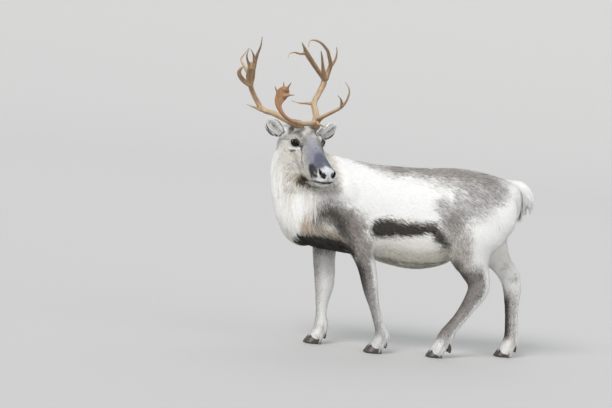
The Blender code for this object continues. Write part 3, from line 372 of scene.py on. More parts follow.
def headRings(rows, steps, sides):
    rings = []
    turn = wholeTurn(sides)
    rise, sweep = np.sin(turn), np.cos(turn)
    for along, top, bottom, atTop, atBrow, atJaw in curveThrough(rows, steps):
        less = depth["head"] * (0.35 + 0.65 * float(ramp(-along, -0.3, -0.16)))
        top, bottom = top - less, bottom + less * 1.5
        brow = top + (bottom - top) * browShare
        edge = np.where(rise > 0, atTop, atJaw)
        half = atBrow + (edge - atBrow) * np.abs(rise) ** 1.5 - less
        left = half * np.sign(sweep) * np.abs(sweep) ** (2 / 2.4)
        reach = np.where(rise > 0, top - brow, brow - bottom)
        above = brow + reach * np.sign(rise) * np.abs(rise) ** (2 / 2.3)
        rings.append(onHead(np.stack([np.full(sides, along), left, above], axis=1)))
    return rings


def egg(middle, axes, rings=14, sides=24):
    turn = wholeTurn(sides)
    made = []
    for i in range(1, rings):
        lift = math.pi * i / rings
        flat = np.outer(np.cos(turn), axes[0]) + np.outer(np.sin(turn), axes[1])
        made.append(middle + axes[2] * math.cos(lift) + flat * math.sin(lift))
    return tube(made)


def headEgg(place, halves):
    return egg(onHead(place), (faceLine * halves[0], headLeft * halves[1], crown * halves[2]))


def onSide(place, side):
    return (place[0], place[1] * side, place[2])


# how far the coat of the neck reaches at a height: short by the head, long below
def maneDepth(z):
    return 0.004 + 0.02 * float(ramp(-z, -0.97, -0.84))


def breastDepth(z):
    return maneDepth(z) * 0.5 - 0.004


def legDepth(z):
    if z > 0.5:
        return depth["upper"]
    return depth["lower"] + (depth["upper"] - depth["lower"]) * float(ramp(z, 0.3, 0.48))


# rows whose half sizes shrink by this amount from one height up to the other; given downwards, by a share of them
def pinched(rows, low, high, amount):
    def less(half, z):
        if high > low:
            return float(ramp(z, low, high))
        return half - amount * (1 - float(ramp(z, high, low)))

    return [(*row[:3], *(half - amount * less(half, row[2]) for half in row[3:])) for row in rows]


# Flesh over bone, as eggs on both sides: place, half lengths
muscles = [
    ((-0.385, 0.128, 0.69), (0.075, 0.036, 0.12)), ((-0.315, 0.13, 0.6), (0.055, 0.034, 0.08)),
    ((0.25, 0.135, 0.64), (0.1, 0.04, 0.11)), ((0.395, 0.12, 0.7), (0.075, 0.04, 0.11)),
    ((0.19, 0.14, 0.56), (0.045, 0.03, 0.06)),
]
bodyParts = [tube(trunkRings(trunkRows, 6, 64))]
bodyParts.append(tube(limbRings(pinched(neckRows, 0.915, 0.985, 0.014)[:8], 6, 56, maneDepth)))
bodyParts.append(tube(limbRings(pinched(breastRows, 0.9, 0.955, 0.014), 6, 48, breastDepth)))
bodyParts.append(tube(limbRings(tailRows, 6, 24, 0.004)))
for rows in legRows.values():
    bodyParts.append(tube(limbRings(rows, 6, 36, legDepth)))
for place, halves in muscles:
    for side in (-1, 1):
        bodyParts.append(egg(np.array(onSide(place, side)), np.diag(halves)))
skin = melt(makeObject("skin", bodyParts), skinPlan["bodyVoxel"], 5)

headParts = [tube(headRings(headRows, 6, 64))]
headParts.append(tube(limbRings(pinched(neckRows, 0.915, 0.85, 0.014)[4:], 6, 56, maneDepth)))
headParts.append(tube(limbRings(pinched(breastRows, 0.9, 0.8, 0.02)[:3], 6, 48, breastDepth)))
for place, halves in headMasses:
    for side in (-1, 1):
        headParts.append(headEgg(onSide(place, side), [half - 0.0015 for half in halves]))
turns = wholeTurn(24)
for side in (-1, 1):
    pedicle = []
    for forward, left, above, size in ((-0.03, 0.034, -0.05, 0.02), (-0.014, 0.039, -0.026, 0.0195),
        (-0.006, 0.043, -0.008, 0.018), (-0.008, 0.046, 0.003, 0.015)):
        pedicle.append(overHead(np.stack([forward + size * np.cos(turns), left * side + size * np.sin(turns),
            np.full(24, above)], axis=1)))
    headParts.append(tube(pedicle))
head = makeObject("head", headParts)


# along the eye's opening, up across it, and the way it looks: outwards, and a little ahead and up
def eyeAxes(side):
    gaze = unit(headLeft * side * 0.88 + faceLine * 0.42 + crown * 0.22)
    along = faceLine * 0.9 - headLeft * side * 0.4 + crown * 0.25
    along = unit(along - gaze * (along @ gaze))
    high = unit(crown - gaze * (crown @ gaze) - along * (crown @ along))
    return along, high, gaze


# the edge of the eye's opening, round the ball and pointed at both corners
def almond(side, spread, count):
    middle = onHead(onSide(eyePlace, side))
    along, high, gaze = eyeAxes(side)
    loop = []
    for k in range(count):
        turn = 2 * math.pi * k / count
        across = eyePlan["halfWidth"] * spread * math.cos(turn)
        rise = eyePlan["halfHeight"] * spread * math.sin(turn) * (1.0 - 0.3 * abs(math.cos(turn)))
        rest = math.sqrt(max((eyeRadius * 1.04) ** 2 - (0.74 * across) ** 2 - rise**2, 0.0))
        loop.append(middle + along * across + high * rise + gaze * rest)
    return np.array(loop)


# a closed rim of round section along a loop
def roundLoop(loop, middle, radius, sides=10):
    count = len(loop)
    vertices, faces = [], []
    for i, place in enumerate(loop):
        along = unit(loop[(i + 1) % count] - loop[i - 1])
        out = unit(place - middle)
        other = np.cross(along, out)
        for k in range(sides):
            turn = 2 * math.pi * k / sides
            vertices.append(place + (out * math.cos(turn) + other * math.sin(turn)) * radius)
    for i in range(count):
        for k in range(sides):
            a, b, after = i * sides, (i + 1) % count * sides, (k + 1) % sides
            faces.append((a + k, a + after, b + after, b + k))
    return vertices, faces


mouthLine = fromMillimetres([
    (250, 44, -126), (264, 44, -116), (280, 42, -103), (300, 40, -86), (318, 36, -71), (327, 24, -65.5),
    (330, 0, -65.5),
])
# start, end, half width and half depth of each part of the comma-shaped opening
nostrilCuts = [((0.3, 0.036, -0.024), (0.324, 0.022, -0.035), 0.0068, 0.016),
    ((0.278, 0.036, -0.02), (0.312, 0.035, -0.027), 0.0034, 0.01)]
melt(head, skinPlan["headVoxel"], 3)
for side in (-1, 1):
    middle = onHead(onSide(eyePlace, side))
    combine(head, makeObject("lid", [roundLoop(almond(side, 1.06, 48), middle, 0.004)]), "UNION")
    loop = almond(side, 1.0, 48)
    opening = tube([middle + (loop - middle) * 0.55, middle + (loop - middle) * 1.9])
    combine(head, makeObject("opening", [opening]), "DIFFERENCE")
    for start, end, wide, deep in nostrilCuts:
        start, end = onHead(onSide(start, side)), onHead(onSide(end, side))
        slit = unit(end - start)
        reach = unit(headLeft * side * 0.75 + faceLine * 0.65)
        reach = unit(reach - slit * (reach @ slit))
        halves = (slit * np.linalg.norm(end - start) / 2, np.cross(slit, reach) * wide, reach * deep)
        combine(head, makeObject("nostril", [egg((start + end) / 2, halves)]), "DIFFERENCE")
melt(head, skinPlan["headVoxel"], 2)

# the mouth: a slit right round the muzzle, between the lips
farHalf = [onSide(place, -1) for place in mouthLine[-2::-1]]
slitPath = curveThrough(mouthLine + farHalf, 4)
rings = []
for i, place in enumerate(slitPath):
    along = unit(heading(slitPath, i))
    out = unit((place - (0.255, 0.0, place[2])) * (1, 1, 0))
    out = unit(out - along * (along @ out))
    thin = np.cross(along, out)
    ends = min(1.0, 0.35 + min(i, len(slitPath) - 1 - i) / 5)
    turn = wholeTurn(14)
    rings.append(onHead(place + np.outer(np.cos(turn) * 0.01 * ends, out)
        + np.outer(np.sin(turn) * 0.003 * ends, thin)))
combine(head, makeObject("mouth", [tube(rings)]), "DIFFERENCE")
combine(skin, head, "UNION")
print("scene: body and head joined,", len(skin.data.vertices), "points")


# Ears, joined to the skin
earPlan = {
    "root": (-0.066, 0.091, -0.058), "tip": (-0.052, 0.18, 0.004), "arc": 19,
    "wall": 0.0046, "taper": 0.55, "bow": 0.012,
}
# share of an ear's length, half its width there, and how far round the cup reaches in degrees
earShape = [
    (0.0, 0.0175, 142), (0.22, 0.024, 122), (0.45, 0.0312, 106), (0.66, 0.0326, 98), (0.82, 0.0286, 92),
    (0.92, 0.0215, 88), (0.98, 0.012, 84), (1.0, 0.006, 80),
]
earShares, earHalves, earAngles = np.array(earShape).T


def earFrame(side):
    root, tip = overHead(onSide(earPlan["root"], side)), overHead(onSide(earPlan["tip"], side))
    along = unit(tip - root)
    mouth = unit(ahead + up * -0.15 + levelLeft * 0.25 * side)
    mouth = unit(mouth - along * (along @ mouth))
    return root, tip, along, mouth, np.cross(along, mouth)


def buildEar(side):
    root, tip, along, mouth, across = earFrame(side)
    length = np.linalg.norm(tip - root)
    rings = []
    for share, half, angle in curveThrough(earShape, 5):
        share = min(share, 1.0)
        middle = root + along * length * share + mouth * earPlan["bow"] * math.sin(math.pi * share)
        wall = earPlan["wall"] * (1.0 - earPlan["taper"] * share)
        turn = np.radians(angle) * (2 * np.arange(earPlan["arc"]) / (earPlan["arc"] - 1) - 1)
        way = np.outer(np.sin(turn), across) - np.outer(np.cos(turn), mouth)
        rim = 1.0 - 0.55 * np.abs(turn / turn[-1]) ** 6
        inner = np.maximum(half - wall * rim, half * 0.45)
        rings.append(np.vstack([middle + way * half, (middle + way * inner[:, None])[::-1]]))
    return makeObject("ear", [tube(rings)])


# place on an ear: share of its length, turn round the cup from -1 to 1, depth, and whether it is inside
def onEar(points, side):
    root, tip, along, mouth, across = earFrame(side)
    length = np.linalg.norm(tip - root)
    share = (points - root) @ along / length
    bowed = earPlan["bow"] * np.sin(np.pi * np.clip(share, 0, 1))
    middle = root + np.outer(share * length, along) + np.outer(bowed, mouth)
    over = points - middle
    half = np.interp(share, earShares, earHalves)
    reach = np.hypot(over @ across, over @ mouth)
    turn = np.arctan2(over @ across, -(over @ mouth)) / np.radians(np.interp(share, earShares, earAngles))
    inside = reach < half - earPlan["wall"] * (1.0 - earPlan["taper"] * np.clip(share, 0, 1)) * 0.55
    return share, turn, reach / half, inside.astype(float)


for side in (-1, 1):
    combine(skin, buildEar(side), "UNION")


# Sculpted details of the head, the same on both sides: path, reach, push along the surface's normal
folds = [
    # the lips beside the mouth
    (mouthLine, 0.003, -0.0012),
    ([(0.262, 0.048, -0.102), (0.285, 0.047, -0.084), (0.306, 0.042, -0.066), (0.322, 0.026, -0.056),
        (0.33, 0.0, -0.055)], 0.006, 0.0016),
    ([(0.256, 0.042, -0.134), (0.285, 0.038, -0.112), (0.312, 0.028, -0.09), (0.323, 0.0, -0.08)], 0.0065, 0.0024),
    # groove under the nose and the nostril's wing
    ([(0.326, 0.0, -0.03), (0.331, 0.0, -0.055)], 0.003, -0.0014),
    ([(0.292, 0.04, -0.018), (0.312, 0.04, -0.018), (0.324, 0.028, -0.03)], 0.0045, 0.0022),
    ([(0.275, 0.048, -0.036), (0.29, 0.05, -0.05), (0.305, 0.046, -0.058)], 0.006, -0.0016),
    # tear groove, cheek ridge and the hollow over the eye
    ([(0.092, 0.062, -0.042), (0.115, 0.06, -0.053), (0.135, 0.058, -0.062)], 0.0045, -0.0022),
    ([(0.06, 0.085, -0.1), (0.11, 0.078, -0.1), (0.17, 0.066, -0.098)], 0.01, 0.0016),
    ([(0.02, 0.078, -0.03), (0.05, 0.076, -0.014)], 0.009, -0.002),
    ([(0.13, 0.068, -0.13), (0.2, 0.056, -0.115)], 0.014, -0.0022),
    # middle of the forehead
    ([(0.02, 0.0, -0.008), (0.1, 0.0, -0.012)], 0.012, -0.0014),
]
nearEye = [onHead(onSide(eyePlace, side)) for side in (-1, 1)]


# cuts the faces round chosen points in four
def refine(made, chosen):
    shape = bmesh.new()
    shape.from_mesh(made.data)
    shape.verts.ensure_lookup_table()
    picked = {shape.verts[i] for i in np.nonzero(chosen)[0]}
    edges = [edge for edge in shape.edges if edge.verts[0] in picked and edge.verts[1] in picked]
    bmesh.ops.subdivide_edges(shape, edges=edges, cuts=1, use_grid_fill=True)
    bmesh.ops.triangulate(shape, faces=shape.faces)
    shape.to_mesh(made.data)
    shape.free()


local = toHead(readPoints(skin))
fine = np.zeros(len(local), dtype=bool)
for path, reach, _ in folds[:6]:  # those of the mouth and nose
    away, _ = toPath(mirrored(local), path)
    fine |= away < reach + 0.004
for middle in nearEye:
    fine |= np.linalg.norm(readPoints(skin) - middle, axis=1) < 0.034
refine(skin, fine)
points, normals = readPoints(skin), readNormals(skin)
local = toHead(points)
folded = mirrored(local)
for path, reach, push in folds:
    away, _ = toPath(folded, path)
    points += normals * (push * np.exp(-((away / reach) ** 2)))[:, None]
writePoints(skin, points)


# evens the surface where the weight is above nothing
def relax(made, weight, rounds):
    edges = readRows(made.data.edges, "vertices", 2, np.int64)
    points = readPoints(made)
    count = np.bincount(edges.ravel(), minlength=len(points))[:, None]
    for _ in range(rounds):
        total = np.zeros_like(points)
        np.add.at(total, edges[:, 0], points[edges[:, 1]])
        np.add.at(total, edges[:, 1], points[edges[:, 0]])
        points += weight[:, None] * 0.5 * (total / np.maximum(count, 1) - points)
    writePoints(made, points)


points = readPoints(skin)
weight = np.zeros(len(points))
for side in (-1, 1):
    root = overHead(onSide(earPlan["root"], side))
    weight = np.maximum(weight, 1 - ramp(np.linalg.norm(points - root, axis=1), 0.02, 0.04))
relax(skin, weight, 6)
skin.data.shade_smooth()
print("scene: skin has", triangleCount(skin), "triangles")


# Unwrap of the skin's own shape, which the coat's patches are placed on
def unwrap(made, name="OFBake"):
    made.data.uv_layers.new(name=name)
    bpy.ops.object.select_all(action="DESELECT")
    made.select_set(True)
    bpy.context.view_layer.objects.active = made
    bpy.ops.object.mode_set(mode="EDIT")
    bpy.ops.mesh.select_all(action="SELECT")
    bpy.ops.uv.smart_project(angle_limit=math.radians(66), island_margin=0.002)
    bpy.ops.object.mode_set(mode="OBJECT")


unwrap(skin)
print("scene: skin unwrapped")

# Colours
palette = {
    "white": (0.93, 0.922, 0.902),
    "cream": (0.68, 0.64, 0.56),
    "beige": (0.52, 0.46, 0.38),
    "tan": (0.4, 0.32, 0.23),
    "brown": (0.095, 0.066, 0.038),
    "olive": (0.23, 0.205, 0.145),
    "greyBrown": (0.2, 0.172, 0.155),
    "paleGrey": (0.61, 0.6, 0.595),
    "grey": (0.3, 0.285, 0.28),
    "slate": (0.225, 0.234, 0.3),
    "deepSlate": (0.082, 0.092, 0.132),
    "nose": (0.64, 0.67, 0.7),
    "muzzleDark": (0.03, 0.029, 0.034),
    "dark": (0.029, 0.025, 0.021),
    "black": (0.01, 0.009, 0.01),
}
palette = {name: np.array(value) for name, value in palette.items()}

# Body marks, the same on both sides: colour, strength, softness, raggedness, path of x, distance from the
# middle, z and reach in millimetres
bodyMarks = [
    ("paleGrey", 0.7, 1.0, 0.9, [(-200, 80, 885, 60), (0, 90, 885, 80), (200, 100, 880, 100), (380, 90, 865, 80)]),
    ("greyBrown", 0.8, 1.0, 1.6, [(-140, 40, 890, 50), (20, 60, 890, 66), (160, 80, 890, 82), (300, 100, 875, 80)]),
    ("greyBrown", 0.55, 1.0, 1.7, [(-340, 30, 868, 24), (-250, 50, 876, 34), (-140, 60, 880, 46)]),
    ("grey", 0.74, 0.9, 0.9, [(60, 192, 740, 45), (110, 190, 690, 60), (207, 170, 750, 85), (300, 150, 800, 70),
        (370, 135, 825, 50)]),
    ("greyBrown", 0.66, 0.9, 0.9, [(118, 190, 660, 50), (150, 185, 600, 62), (190, 180, 560, 55),
        (205, 170, 500, 45)]),
    ("greyBrown", 0.95, 0.7, 0.5, [(60, 192, 600, 26), (110, 165, 530, 38), (170, 145, 448, 40)]),
    ("dark", 0.88, 0.8, 0.6, [(35, 190, 600, 20), (75, 177, 550, 34), (120, 154, 490, 36), (160, 140, 440, 28)]),
    ("white", 0.9, 0.7, 0.4, [(450, 102, 825, 50), (450, 132, 700, 55), (425, 140, 600, 55), (375, 150, 530, 50)]),
    ("white", 0.86, 0.8, 0.6, [(275, 185, 640, 26), (305, 180, 560, 45), (305, 168, 475, 45), (330, 150, 420, 32)]),
    ("grey", 0.8, 1.0, 0.9, [(-500, 125, 660, 45), (-430, 150, 650, 62), (-360, 160, 610, 58)]),
    ("greyBrown", 0.86, 0.9, 0.8, [(-520, 110, 640, 22), (-470, 135, 652, 44), (-420, 150, 640, 56),
        (-375, 158, 605, 58), (-340, 165, 560, 56), (-300, 165, 515, 52), (-270, 155, 465, 50)]),
    ("dark", 0.74, 0.9, 0.9, [(-490, 125, 650, 14), (-455, 140, 665, 20), (-425, 145, 640, 26), (-400, 140, 590, 26),
        (-370, 130, 540, 28), (-345, 130, 480, 28)]),
    ("tan", 0.85, 0.8, 0.6, [(-560, 115, 615, 28), (-515, 115, 588, 24), (-460, 118, 562, 20), (-400, 115, 530, 18),
        (-360, 120, 495, 14)]),
    ("cream", 0.6, 0.8, 0.5, [(-585, 100, 590, 14), (-530, 100, 570, 16), (-470, 105, 545, 14)]),
    ("tan", 0.6, 0.8, 0.5, [(-568, 117, 622, 18), (-551, 126, 672, 20), (-545, 120, 730, 14)]),
    ("cream", 0.75, 0.6, 0.2, [(-150, 130, 490, 60), (0, 120, 480, 75), (120, 110, 500, 60)]),
    ("white", 0.65, 0.8, 0.5, [(-150, 165, 520, 22), (-30, 172, 520, 26), (60, 172, 535, 22)]),
    # olive under the belly is painted shade
    ("olive", 0.75, 0.8, 0.6, [(-190, 60, 430, 45), (-50, 70, 405, 45), (80, 70, 415, 45)]),
    ("dark", 0.98, 0.4, 0.4, [(-222, 166, 600, 50), (-170, 174, 602, 45), (-110, 178, 603, 37), (-40, 185, 608, 31),
        (30, 190, 618, 24)]),
    ("greyBrown", 0.65, 0.9, 0.8, [(-200, 172, 646, 12), (-120, 178, 640, 16), (-40, 185, 642, 15),
        (45, 190, 640, 16)]),
    ("dark", 0.98, 0.5, 0.35, [(-590, 60, 520, 30), (-513, 60, 480, 42), (-450, 50, 465, 50), (-390, 40, 455, 50),
        (-334, 50, 445, 45)]),
    ("dark", 0.98, 0.5, 0.25, [(-560, 0, 490, 30), (-450, 0, 450, 55), (-330, 0, 440, 45)]),
    ("dark", 0.97, 0.6, 0.5, [(-588, 80, 530, 22), (-520, 90, 525, 36), (-455, 98, 512, 38), (-395, 100, 494, 38),
        (-340, 120, 474, 30)]),
    ("dark", 0.95, 0.7, 0.4, [(-560, 30, 530, 30), (-500, 40, 500, 40)]),
]

# Head marks, the same on both sides, in the head's own directions and in millimetres
headMarks = [
    ("white", 0.9, 0.8, 0.4, [(-78, 47, -66, 22), (-44, 76, -90, 22), (-20, 80, -72, 18), (-29, 101, -50, 18)]),
    ("greyBrown", 0.6, 0.8, 0.4, [(-36, 90, -122, 11), (-10, 88, -105, 10), (6, 84, -95, 8)]),
    ("white", 0.6, 0.9, 0.4, [(-20, 85, -160, 40), (40, 90, -160, 26), (75, 90, -185, 22)]),
    ("paleGrey", 0.8, 0.8, 0.8, [(0, 0, -10, 40), (60, 0, -10, 44), (110, 0, -15, 44)]),
    ("grey", 0.34, 0.8, 1.8, [(10, 10, -12, 30), (60, 20, -14, 34), (100, 26, -20, 34)]),
    ("white", 0.42, 1.0, 1.8, [(18, 6, -10, 32), (60, 22, -14, 34)]),
    ("grey", 0.8, 0.9, 0.8, [(85, 40, -28, 18), (120, 42, -36, 24), (170, 46, -46, 26), (225, 46, -50, 24)]),
    ("slate", 0.6, 1.0, 0.9, [(100, 0, -18, 28), (140, 16, -24, 34), (190, 24, -28, 40), (240, 30, -30, 34)]),
    ("slate", 0.8, 1.0, 0.9, [(160, 6, -22, 26), (200, 18, -26, 38), (250, 24, -26, 34)]),
    ("deepSlate", 0.85, 1.0, 0.7, [(195, 4, -21, 20), (234, 14, -22, 32), (260, 22, -22, 24)]),
    # dark patch behind the antler bases is painted shadow of the pedicles
    ("dark", 0.75, 0.8, 0.7, [(-37, 47, -49, 10), (-20, 52, -48, 14), (-12, 39, -36, 15), (6, 34, -28, 13)]),
    ("greyBrown", 0.8, 0.8, 0.6, [(10, 50, -36, 11), (21, 44, -31, 11), (50, 42, -27, 11)]),
    ("cream", 0.6, 0.9, 0.5, [(62, 81, -28, 6), (80, 76, -25, 6), (93, 69, -32, 5.2), (92, 62, -44, 4.5)]),
    ("cream", 0.65, 0.9, 0.5, [(12, 75, -74, 5), (25, 78, -60, 6), (45, 82, -40, 6)]),
    ("dark", 0.88, 0.7, 0.2, [(68, 63, -16, 5), (85, 58, -26, 7.5), (92, 54, -40, 8), (104, 55, -52, 6),
        (120, 55, -57, 4.5)]),
    ("greyBrown", 0.75, 0.8, 0.3, [(120, 56, -57, 5), (140, 57, -64, 5), (160, 60, -84, 5), (190, 56, -100, 5)]),
    ("cream", 0.85, 0.9, 0.6, [(61, 80, -128, 15), (92, 76, -112, 15), (117, 69, -94, 12)]),
    ("dark", 0.85, 0.8, 0.3, [(12, 79, -78, 5), (30, 82, -98, 5.8), (49, 82, -105, 6.2), (74, 80, -94, 5.8),
        (92, 72, -74, 4.5)]),
    # white arc along the lower lid is a painted highlight of the wet tear line
    ("white", 0.9, 0.5, 0.1, [(36, 81, -84, 4.5), (50, 82, -92, 5.5), (66, 81, -86, 5.5), (79, 75, -71, 5),
        (99, 61, -57, 4.5)]),
    ("grey", 0.4, 0.8, 0.8, [(40, 88, -122, 9), (66, 92, -148, 10), (96, 89, -150, 10)]),
    ("grey", 0.4, 0.8, 0.8, [(123, 71, -139, 14), (162, 62, -125, 14)]),
    ("cream", 0.7, 0.8, 0.5, [(150, 63, -108, 10), (190, 58, -108, 12), (215, 52, -112, 11)]),
    # tan, brown and dark along the lower jaw: brownish hair, and painted shade on the jaw's lower side
    ("tan", 0.6, 0.8, 0.5, [(110, 80, -195, 14), (150, 68, -172, 14), (190, 56, -150, 12), (225, 48, -128, 9)]),
    ("brown", 0.92, 0.6, 0.5, [(145, 58, -190, 11), (164, 50, -184, 15), (188, 44, -168, 16), (214, 42, -149, 12),
        (235, 40, -136, 8)]),
    ("brown", 0.9, 0.9, 0.6, [(150, 56, -186, 16), (180, 46, -172, 18), (212, 42, -150, 14)]),
    ("dark", 0.6, 0.9, 0.6, [(165, 50, -184, 11), (195, 43, -164, 12), (222, 41, -144, 8)]),
    ("brown", 0.8, 0.7, 0.5, [(173, 36, -196, 14), (195, 22, -192, 14), (230, 20, -163, 12)]),
    ("muzzleDark", 0.94, 1.1, 0.9, [(230, 52, -54, 14), (252, 52, -72, 13), (266, 49, -84, 10)]),
    ("muzzleDark", 0.92, 1.1, 0.8, [(240, 50, -42, 15), (266, 45, -40, 12), (284, 45, -40, 8)]),
    ("muzzleDark", 0.96, 0.9, 0.6, [(258, 51, -60, 16), (284, 48, -60, 11), (298, 46, -50, 6)]),
    ("nose", 0.95, 0.7, 0.7, [(280, 0, -14, 10), (292, 0, -12, 20), (312, 0, -18, 24), (328, 0, -36, 18)]),
    ("nose", 0.9, 0.7, 0.7, [(284, 22, -16, 6), (296, 26, -14, 8), (314, 20, -20, 10)]),
    ("grey", 0.3, 0.9, 0.2, [(312, 0, -24, 8), (330, 0, -42, 10)]),
    ("white", 0.97, 0.4, 0.1, [(302, 47, -34, 5), (313, 43, -43, 6), (322, 34, -48, 6.5), (328, 10, -48, 7)]),
    ("nose", 0.92, 0.5, 0.1, [(270, 47, -100, 6), (288, 47, -84, 8), (304, 44, -68, 8.5), (320, 36, -57, 7),
        (328, 12, -56, 6)]),
    ("white", 0.85, 0.5, 0.1, [(262, 40, -128, 6), (285, 34, -114, 8.5), (308, 24, -96, 10), (322, 0, -82, 9.5)]),
    ("white", 0.6, 0.5, 0.1, [(290, 28, -112, 5), (310, 16, -96, 6), (320, 0, -86, 6)]),
    ("dark", 0.7, 0.6, 0.2, [(252, 36, -142, 4.5), (275, 24, -134, 4.5), (300, 10, -116, 4)]),
    ("cream", 0.97, 0.4, 0.1, [(240, 47, -120, 5.5), (247, 46, -127, 5.5)]),
    ("black", 0.96, 0.4, 0.0, [(250, 45, -126, 7.2), (264, 45, -116, 7.8), (280, 43, -103, 7.8), (300, 41, -86, 7.8),
        (318, 37, -71, 8), (327, 24, -66, 7), (330, 0, -66, 7)]),
    ("black", 0.97, 0.4, 0.0, [(276, 36, -19, 3), (292, 37, -21, 4.8), (304, 36, -27, 7.5), (316, 29, -31, 8.5),
        (324, 20, -36, 6)]),
]

legTint = {
    # front, sides, back and inner side of the leg, and how strong the white over the hoof is
    "fore_left": ("dark", "grey", "white", "cream", 0.45),
    "fore_right": ("greyBrown", "paleGrey", "white", "white", 0.45),
    "hind_left": ("greyBrown", "grey", "white", "cream", 0.8),
    "hind_right": ("dark", "greyBrown", "white", "white", 0.85),
}


# place round a leg at each point's height: ahead and across as shares of its half sizes, and distance
def fromLeg(points, rows):
    path = curveThrough(rows, 4)[::-1]
    z = points[:, 2]
    found = [np.interp(z, path[:, 2], path[:, i]) for i in (0, 1, 3, 4)]
    front = (found[0] - points[:, 0]) / found[2]
    across = (points[:, 1] - found[1]) / found[3]
    return front, across, np.hypot(front, across)


def blend(colours, towards, amount):
    colours += (towards - colours) * amount[:, None]


def mixIn(colours, name, amount):
    blend(colours, palette[name], np.clip(amount, 0.0, 1.0))


def layMarks(colours, places, marks, ragged):
    for name, strength, soft, rough, path in marks:
        path = np.array(path) / 1000
        away, share = toPath(places, path[:, :3])
        reach = np.interp(share, np.linspace(0, 1, len(path)), path[:, 3])
        reach = reach * (1 + rough * (ragged - 0.5) * 1.6)
        mixIn(colours, name, strength * (1 - ramp(away / reach, 1 - soft * 0.7, 1 + soft * 0.7)))


# 1 on the head and nothing on what lies beside and below it
def headShare(local):
    low = np.interp(local[:, 0], (-0.115, 0.0, 0.07, 0.15, 0.25, 0.326),
        (-0.215, -0.275, -0.285, -0.255, -0.182, -0.112))
    lengthwise = ramp(local[:, 0], -0.13, -0.06) * ramp(local[:, 2] - low, -0.022, 0.004)
    return lengthwise * ramp(-np.abs(local[:, 1]), -0.125, -0.105) * ramp(-local[:, 0], -0.36, -0.345)


# bare dark lids round the eyes, and a pale arc over them
def eyeShades(face, points):
    for side in (-1, 1):
        middle = onHead(onSide(eyePlace, side))
        along, high, gaze = eyeAxes(side)
        way = points - middle
        nose, top, out = way @ along, way @ high, way @ gaze
        rim = np.hypot((nose + 0.0025) / 0.0268, top / np.where(top > 0, 0.0182, 0.0165))
        arc = (1 - ramp(np.abs(rim - 1.36), 0.05, 0.24)) * ramp(top, -0.004, 0.006)
        mixIn(face, "cream", 0.45 * (out > 0.0) * arc)
        mixIn(face, "black", 0.95 * (out > 0.0) * (1 - ramp(rim, 0.96, 1.12)))
        corner, _ = toPath(points, [middle + along * 0.02 - high * 0.003 + gaze * 0.01,
            middle + along * 0.03 - high * 0.008 + gaze * 0.008])
        mixIn(face, "black", 0.92 * (1 - ramp(corner, 0.0025, 0.0055)))


def nostrilShades(face, folded):
    for start, end, wide, _ in nostrilCuts:
        start, end = np.array(start), np.array(end)
        away, _ = toPath(folded, [start, end, (start + end) / 2 - (0.006, 0.01, 0.0), end - (0.01, 0.008, 0.0)])
        mixIn(face, "black", 0.97 * (1 - ramp(away / (wide + 0.0022), 0.75, 1.15)))


# white cups with dark patches at the root and the upper edge, and a grey-brown back with a dark rim
def earShades(colours, points):
    for side in (-1, 1):
        share, turn, reachShare, inside = onEar(points, side)
        there = ramp(share, 0.1, 0.28) * (reachShare < 1.35) * (share < 1.15)
        upper = turn * (1 if side < 0 else -1)
        flecks = mottle(points, (120, 120, 120), 23)
        shade = np.tile(palette["white"], (len(points), 1))
        mixIn(shade, "paleGrey", 0.18 * inside * ramp(flecks, 0.45, 0.65))
        mixIn(shade, "grey", 0.8 * (1 - inside) * (1 - ramp(upper, 0.45, 0.85)) * ramp(flecks, 0.3, 0.6))
        mixIn(shade, "dark", 0.92 * ramp(-upper, 0.72, 0.92) * ramp(share, 0.05, 0.2))
        edge = ramp(upper, 0.46, 0.62) * (1 - ramp(upper, 0.9, 1.0)) * (1 - ramp(np.abs(share - 0.62), 0.16, 0.26))
        mixIn(shade, "dark", 0.92 * inside * edge)
        mixIn(shade, "dark", 0.85 * inside * (1 - ramp(share, 0.24, 0.36)) * ramp(flecks, 0.42, 0.54))
        blend(colours, shade, there)


def legShades(colours, points, ragged):
    z = points[:, 2]
    for name, rows in legRows.items():
        front, across, away = fromLeg(points, rows)
        left = name.endswith("left")
        sameSide = (points[:, 1] < 0) if left else (points[:, 1] >= 0)
        inZone = sameSide * ramp(-away, -1.8, -1.35) * ramp(-z, -0.5, -0.41)
        frontTint, sideTint, backTint, innerTint, boots = legTint[name]
        tint = np.tile(palette[sideTint], (len(points), 1))
        mixIn(tint, "greyBrown", (0.55 if name == "fore_left" else 0.3) * ramp(z, 0.28, 0.44))
        mixIn(tint, innerTint, 0.55 * ramp(across if left else -across, 0.45, 0.95))
        mixIn(tint, frontTint, 0.8 * ramp(front, 0.2, 0.75))
        mixIn(tint, "dark", 0.5 * ramp(front, 0.75, 1.02) * ramp(z, 0.1, 0.2))
        mixIn(tint, backTint, 0.95 * ramp(-front, *((0.02, 0.48) if name == "fore_left" else (0.22, 0.62))))
        if name == "fore_right":
            mixIn(tint, "white", np.full(len(points), 0.4))
        if name == "fore_left":
            mixIn(tint, "paleGrey", 0.4 * ramp(-z, -0.36, -0.22))
        if name == "hind_right":
            mixIn(tint, "white", 0.95 * ramp(z, 0.27, 0.37))
        flecks = ramp(ragged, 0.52, 0.78) * ramp(z, 0.06, 0.14) * (1 - ramp(-front, 0.4, 0.8))
        mixIn(tint, "dark", (0.2 if name == "fore_right" else 0.42) * flecks)
        mixIn(tint, "white", boots * ramp(-z, -0.115, -0.07))
        mixIn(tint, "dark", 0.35 * ramp(ragged, 0.5, 0.75) * ramp(-z, -0.11, -0.07))
        blend(colours, tint, inZone)


